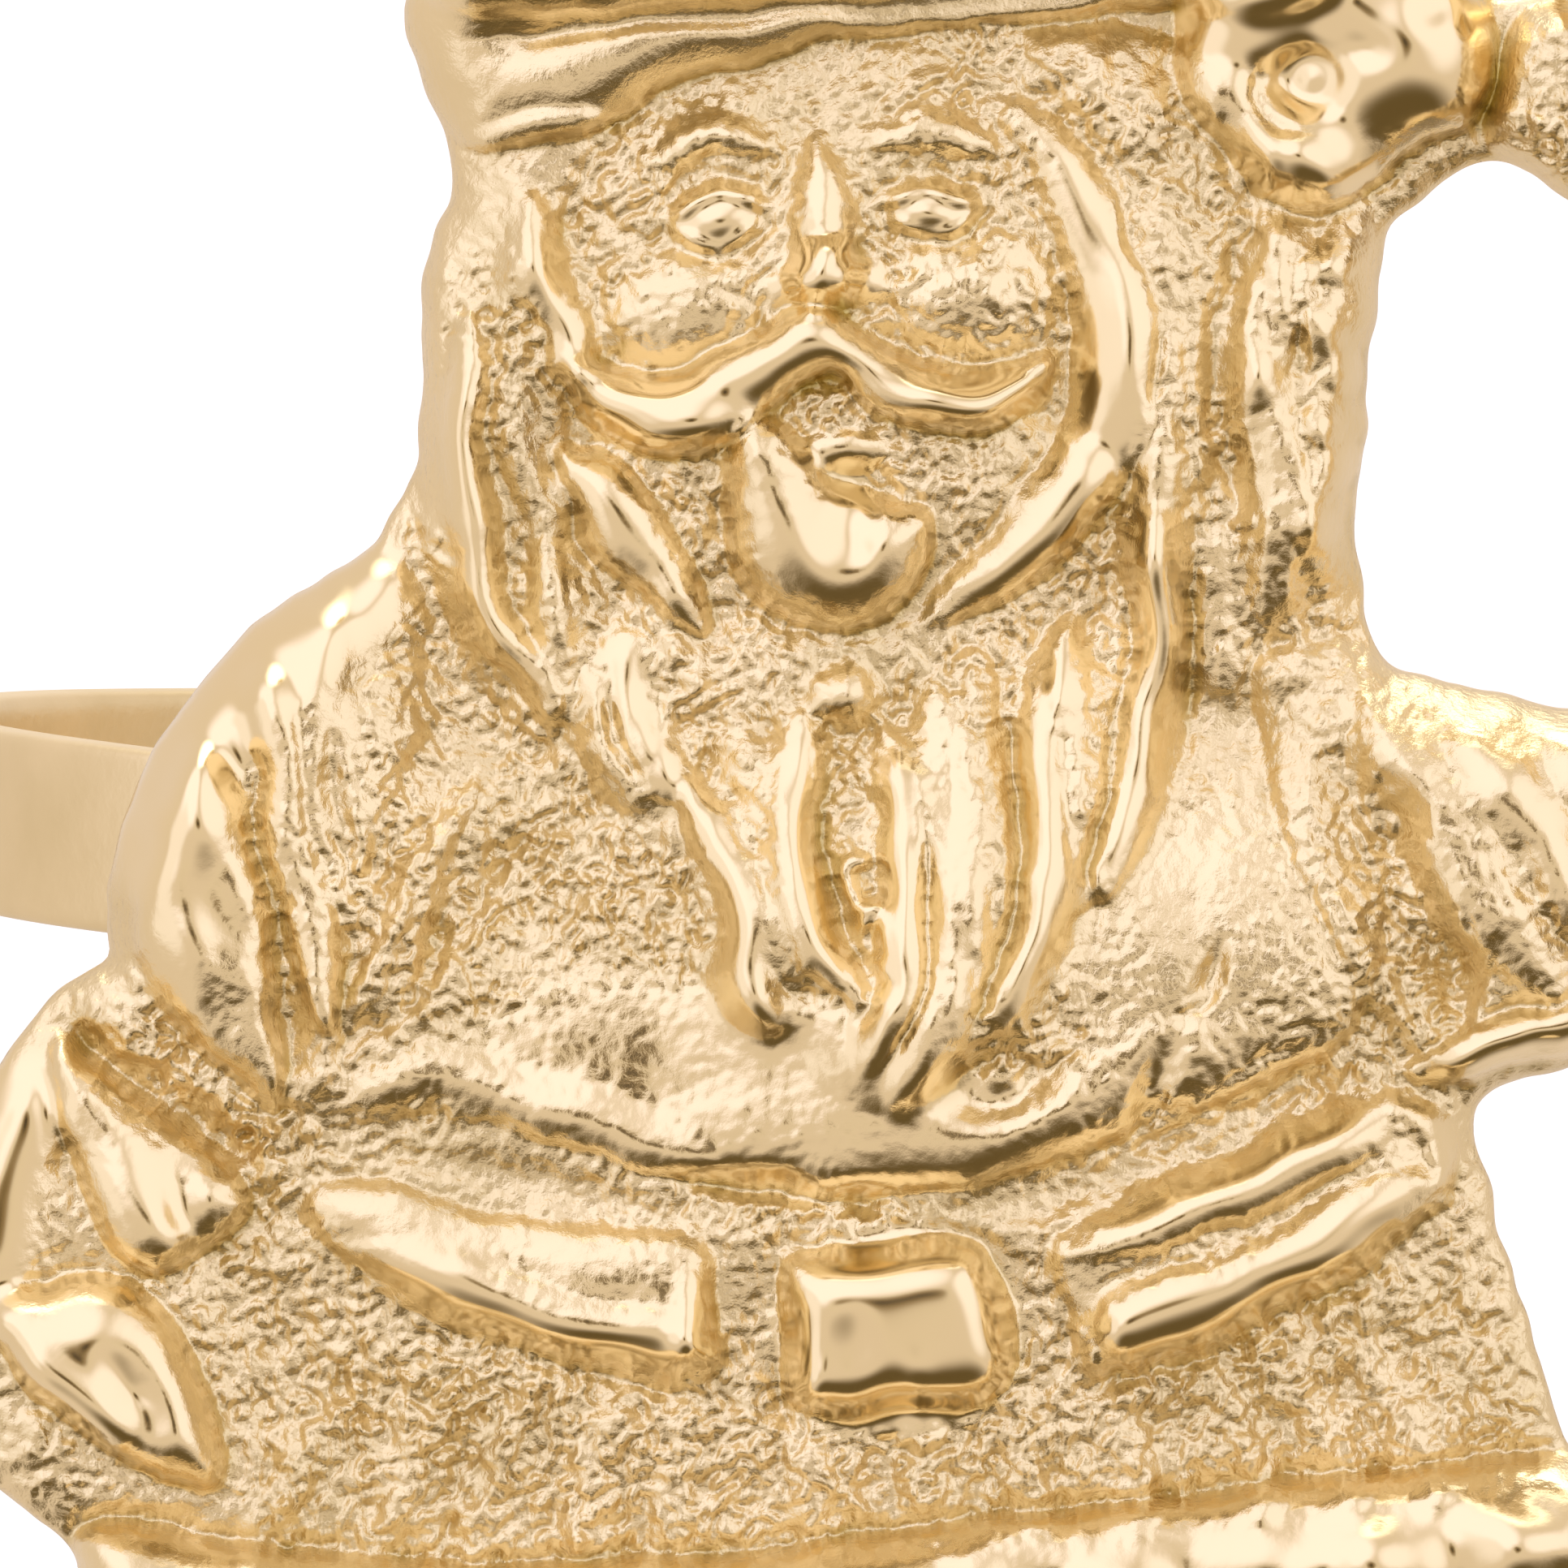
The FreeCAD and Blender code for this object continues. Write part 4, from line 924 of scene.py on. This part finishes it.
strand([(2.0, 28.6), (7.0, 26.8), (10.8, 24.0)], 1.0, -0.50, power=1.0, tips=(0.3, 0.3))
BOBBLE = [
    (8.7, 19.3), (9.4, 21.4), (12.3, 22.6), (15.3, 21.4), (16.2, 19.0), (15.6, 17.4), (14.2, 17.0),
    (13.2, 16.4), (11.8, 15.6), (10.4, 16.2), (9.2, 17.8),
]
slab(BOBBLE, 0.95, 2.2, shine=1.0, gutter=0.08)
BOBBLE_LOBES = [
    (10.1, 20.5, 1.7, 1.5, 0.20),
    (12.5, 21.3, 1.6, 1.3, 0.20),
    (14.2, 19.5, 2.4, 2.4, 0.32),
    (11.6, 16.9, 2.2, 1.3, 0.24),
]
for across, up, half_width, half_height, rise in BOBBLE_LOBES:
    swell(across, up, half_width, half_height, rise, power=1.4, shine=1.0)
swell(11.5, 18.8, 1.1, 1.0, -0.62, power=1.3)
swell(11.7, 18.8, 0.5, 0.5, 0.42, power=1.2, shine=1.0)
strand([(10.5, 19.4), (10.4, 18.4), (11.0, 17.7), (11.9, 17.6)],
       0.5, -0.55, power=1.2, tips=(0.3, 0.3))
swell(14.7, 20.4, 0.6, 0.5, -0.22, turn=30.0, power=1.2)
swell(13.0, 19.5, 0.7, 0.3, -0.20, turn=-10.0, power=1.2)

# ---- Figure: cast ground, rim and back ---------------------------------------------------------
# The mould leaves a fine granular skin wherever the casting was not polished, with upright streaks on
# the skirt and furrows in the hair and beard. The relief rounds down to a thin rim, and the back is
# ground flat for the braze.
CARVED = 1.6
RIM = 0.7
RIM_ROUND = 1.3
POLISH_FADE = 0.2
CAST_SOFTNESS = 0.10
BUFFED_SOFTNESS = 0.24
# How strongly the hollows take the painted shade.
HOLLOW_SHADE = 3.5
PIT_DEPTH = 0.23
FINE_DEPTH = 0.10
STREAK_DEPTH = 0.13
FURROW_DEPTH = 0.15


def blurred(values, reach):
    """A running mean over a square, taken twice."""
    n = max(1, int(reach / GRID))
    window = 2 * n + 1
    for axis in (0, 1, 0, 1):
        size = values.shape[axis]
        before = np.repeat(values.take([0], axis), n + 1, axis)
        after = np.repeat(values.take([-1], axis), n, axis)
        total = np.cumsum(np.concatenate([before, values, after], axis), axis)
        upper = total.take(range(window, window + size), axis)
        values = (upper - total.take(range(0, size), axis)) / window
    return values


# The whole wax is softened a little, and more where the wheel has polished it, but not on the face.
polish = np.clip(blurred(polish, POLISH_FADE), 0.0, 1.0)
rough = (1.0 - polish) ** 1.5
relief = PLATE + CARVED * (relief - PLATE)
relief = blurred(relief, CAST_SOFTNESS)
away_from_face = np.clip(2.2 * np.hypot((U - FACE_MIDDLE) / 5.2, (V - EYE_LINE) / 3.2) - 1.6, 0.0, 1.0)
buffed = np.clip(2.2 * polish - 0.9, 0.0, 1.0) * away_from_face
relief = relief + buffed * (blurred(relief, BUFFED_SOFTNESS) - relief)

# Painted shade: the hollows darken, most of all at the lower right of a raised form,
# as a shadow cast by light from the upper left.
shadow_step = int(0.35 / GRID)
above_left = np.roll(blurred(relief, 0.15), (-shadow_step, shadow_step), (0, 1))
hollow = np.clip((blurred(relief, BUFFED_SOFTNESS) - relief) * HOLLOW_SHADE, 0.0, 1.0)
hollow = hollow * np.clip(0.15 + 1.8 * (above_left - relief), 0.10, 1.1)
hollow = hollow * (0.75 + 0.45 * grains(0.6, 0.6, 20, 45))

# The grain comes in patches and fades towards the outside, but the skirt keeps most of it. The
# cloth beside the beard is finer than the rest.
pits = np.abs(grains(0.40, 0.40, 11, 25)) + 0.8 * np.abs(grains(0.27, 0.27, 12, 57)) - 0.8
grit = PIT_DEPTH * pits + FINE_DEPTH * grains(0.19, 0.19, 13, 40)
patches = np.clip(0.80 + 0.45 * grains(3.1, 3.1, 18, 20) + 0.40 * grains(1.4, 1.4, 19, 50), 0.30, 1.20)
worn_outside = np.clip(1.55 - np.hypot(U - 1.0, 0.8 * V) / 22.0, 0.30, 1.0)
on_skirt = np.clip((-9.0 - V) / 1.5, 0.0, 1.0) * np.clip((V + 16.5) / 1.0, 0.0, 1.0)
on_skirt = on_skirt * (np.abs(U) < 15.2)
beside_beard = np.exp(-(((U - 8.5) / 2.8) ** 2) - ((V - 0.3) / 3.8) ** 2)
coarse = coarse * (1.0 - 0.62 * beside_beard)
grain_left = rough * coarse * np.maximum(patches, 0.8 * on_skirt) * np.maximum(worn_outside, on_skirt)
relief = relief + grain_left * grit

# Upright streaks on the skirt, low lumps everywhere, and furrows along the hair and the beard.
streaks = grains(0.42, 0.9, 14, 8) + 0.7 * grains(0.30, 0.6, 15, -12)
relief = relief + rough * on_skirt * STREAK_DEPTH * streaks
lumps = grains(1.3, 1.3, 17, 30) + grains(2.7, 2.7, 16, 15)
relief = relief + (0.03 + 0.09 * rough) * lumps
furrows = grains(0.50, 3.2, 21, 5) + 0.7 * grains(0.34, 2.2, 22, -6)
in_beard = np.clip(beard_depth / 1.2, 0.0, 1.0) * np.clip((7.0 - V) / 2.0, 0.0, 1.0)
in_hair = np.clip(hair_depth / 1.2, 0.0, 1.0)
still_dull = 1.0 - 0.55 * polish
relief = relief + FURROW_DEPTH * still_dull * np.maximum(in_beard, 0.8 * in_hair) * furrows
relief = RIM + (relief - RIM) * roundover(edge_depth, RIM_ROUND)

# The casting is one piece of metal, but its mesh is cut into six along the grooves, so that each part
# stays light: every cell of the grid goes to the part that it lies in.
CAP_LINE = [
    (-10.0, 19.2), (-8.6, 18.4), (-7.0, 18.1), (-4.6, 18.8), (-2.3, 19.7), (1.0, 20.2), (4.9, 20.4),
    (8.3, 20.5), (8.7, 18.2), (9.8, 16.4), (12.0, 15.5), (14.0, 15.5), (15.4, 16.2), (16.2, 17.4),
]
HEM_LINE = [
    (-21.0, -13.1), (-14.6, -14.3), (-7.9, -15.1), (-2.1, -14.9), (5.6, -14.4), (15.9, -13.8),
    (18.0, -13.8),
]
DOWN_ARM_LINE = [
    (-14.5, -15.6), (-8.0, -15.4), (-6.0, -15.0), (-4.0, -13.9), (-3.0, -12.9), (0.0, -12.2),
    (4.0, -11.0), (7.0, -10.2), (8.5, -9.9),
]
RAISED_ARM_LINE = [
    (-6.5, 14.6), (-4.5, 12.6), (-3.0, 12.0), (0.0, 10.9), (3.0, 9.9), (5.0, 10.2), (6.0, 15.0),
    (14.5, 15.0), (16.0, 16.2),
]
HEAD_EDGE = [
    (-8.9, 19.2), (-9.9, 14.0), (-10.0, 10.4), (-9.6, 8.0), (-8.6, 5.6), (-7.2, 3.9), (-5.4, 2.0),
    (-4.3, 0.0), (-3.3, -2.4), (-1.9, -3.7), (-0.1, -5.3), (1.8, -4.9), (3.3, -3.7), (4.5, -1.7),
    (6.0, 0.0), (7.2, 3.5), (9.0, 3.3), (11.2, 4.5), (12.4, 6.3), (13.2, 9.0), (13.8, 12.0),
    (14.2, 15.0), (13.0, 20.8), (0.0, 22.0),
]
CAP_RIGHT_END = 16.2
HAIR_ABOVE_SLEEVE = 9.0
middle_u, middle_v = U[:-1, :-1] + GRID / 2, V[:-1, :-1] + GRID / 2
solid = (edge_depth[:-1, :-1] + edge_depth[1:, :-1] + edge_depth[:-1, 1:] + edge_depth[1:, 1:]) > 0
part_of = np.full(solid.shape, "figure_coat", "<U18")
part_of[depth_inside(HEAD_EDGE)[:-1, :-1] > 0] = "figure_head"
part_of[middle_v < np.interp(middle_u, *zip(*HEM_LINE))] = "figure_hem"
above_hem = part_of != "figure_hem"
part_of[(middle_u < np.interp(middle_v, *zip(*DOWN_ARM_LINE))) & above_hem] = "figure_arm_down"
part_of[(middle_u > np.interp(middle_v, *zip(*RAISED_ARM_LINE))) & above_hem] = "figure_arm_up"
part_of[(middle_v > np.interp(middle_u, *zip(*CAP_LINE))) & (middle_u < CAP_RIGHT_END)] = "figure_cap"
part_of[(part_of == "figure_arm_down") & (middle_v > HAIR_ABOVE_SLEEVE)] = "figure_head"
part_of[~solid] = ""

# The corners on the outside edge slide onto the outline, along the slope of the distance to it.
slope_v, slope_u = np.gradient(edge_depth, GRID)
steepness = slope_u**2 + slope_v**2 + 1e-6
around = np.pad(solid, 1).astype(int)
cells_beside = around[:-1, :-1] + around[:-1, 1:] + around[1:, :-1] + around[1:, 1:]
on_rim = (cells_beside > 0) & (cells_beside < 4)
slide = np.clip(np.where(on_rim, edge_depth / steepness, 0.0), -1.2 * GRID, 1.2 * GRID)
sheet_u, sheet_v = U - slide * slope_u, V - slide * slope_v
sheet_w = np.where(on_rim, RIM, relief)
LEAN = math.radians(6.4)


def placed(u, v, w):
    """The sheet's across, up and height as a point of the object: turned in its own plane by the lean,
    with the flat back at the back of the casting."""
    across = u * math.cos(LEAN) - v * math.sin(LEAN)
    up = u * math.sin(LEAN) + v * math.cos(LEAN)
    return np.stack([across, back_y - w, up], -1)


def edge_numbers(pairs, count):
    """One whole number for each pair of corners, the same whichever of the two comes first."""
    return np.minimum(pairs[:, 0], pairs[:, 1]) * count + np.maximum(pairs[:, 0], pairs[:, 1])


# Along a cut both parts take the normal of the uncut relief, so that the light runs on across it.
slope_v, slope_u = np.gradient(relief, GRID)
facing = placed(-slope_u, -slope_v, np.ones(U.shape)) - placed(0.0, 0.0, 0.0)
facing /= np.linalg.norm(facing, axis=-1, keepdims=True)
figure_gold = gold("figure_gold", polish=None, grain=4500.0, bump=0.05, smooth=0.10, rough=0.26)
INSIDE_LEAVING_HOLES = 2
for name in sorted(set(part_of[solid])):
    # The worked front: one square for each cell, its corners numbered along the grid.
    mask = part_of == name
    j, i = np.nonzero(mask)
    corners = [(j, i), (j, i + 1), (j + 1, i + 1), (j + 1, i)]
    taken = np.zeros(U.shape, bool)
    for corner in corners:
        taken[corner] = True
    number = np.cumsum(taken).reshape(U.shape) - 1
    front = np.stack([number[corner] for corner in corners], 1)
    count = int(taken.sum())

    # The wall: a square behind every open side of a cell, back to the ground face.
    beside = np.pad(mask, 1)
    open_side = [~beside[j, i + 1], ~beside[j + 1, i + 2], ~beside[j + 2, i + 1], ~beside[j + 1, i]]
    rim = np.concatenate([front[bare][:, [k, (k + 1) % 4]] for k, bare in enumerate(open_side)])
    rim_corners = np.unique(rim)
    behind = np.full(count, -1)
    behind[rim_corners] = count + np.arange(len(rim_corners))
    walls = np.stack([rim[:, 1], rim[:, 0], behind[rim[:, 0]], behind[rim[:, 1]]], 1)

    # The back: flat triangles between the corners of the wall, leaving the openings open.
    flat = np.stack([sheet_u[taken], sheet_v[taken]], 1)
    loops = np.searchsorted(rim_corners, rim).tolist()
    rim_points = [Vector(point) for point in flat[rim_corners].tolist()]
    filled = delaunay_2d_cdt(rim_points, loops, [], INSIDE_LEAVING_HOLES, 1e-6)
    back = np.array([face[::-1] for face in filled[2]])
    back_points = placed(flat[rim_corners, 0], flat[rim_corners, 1], 0.0 * rim_corners)
    points = np.concatenate([placed(flat[:, 0], flat[:, 1], sheet_w[taken]), back_points])
    faces = front.tolist() + walls.tolist() + (back + count).tolist()
    piece = mesh_object(name, points, faces, figure_gold)
    mesh = piece.data

    # The back's edge and the cuts are sharp. The outer rim stays soft.
    ends = np.empty(2 * len(mesh.edges), np.int64)
    mesh.edges.foreach_get("vertices", ends)
    on_outline = on_rim[taken]
    inner_cut = ~(on_outline[rim[:, 0]] & on_outline[rim[:, 1]])
    sharp_pairs = np.concatenate([rim[inner_cut], behind[rim]])
    sharp_numbers = edge_numbers(sharp_pairs, len(points))
    every_edge = edge_numbers(ends.reshape(-1, 2), len(points))
    sharp = mesh.attributes.new("sharp_edge", "BOOLEAN", "EDGE")
    sharp.data.foreach_set("value", np.isin(every_edge, sharp_numbers))
    # The hollow attribute carries the painted shade of the hollows to the material.
    for attribute, values in (("polish", polish), ("hollow", hollow)):
        layer = mesh.attributes.new(attribute, "FLOAT", "POINT")
        on_piece = np.concatenate([values[taken], 0.0 * rim_corners])
        layer.data.foreach_set("value", on_piece.astype(np.float32))
    mesh.update()
    turned = np.zeros((len(mesh.loops), 3))
    at_cut = np.zeros(count, bool)
    at_cut[np.unique(rim[inner_cut])] = True
    at_cut &= ~on_outline
    corner_of_front = front.ravel()
    on_front = np.where(at_cut[corner_of_front, None], facing[taken][corner_of_front], 0.0)
    turned[: len(on_front)] = on_front
    mesh.normals_split_custom_set(turned.tolist())
    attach(piece, "root")
    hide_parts("figure_casting")
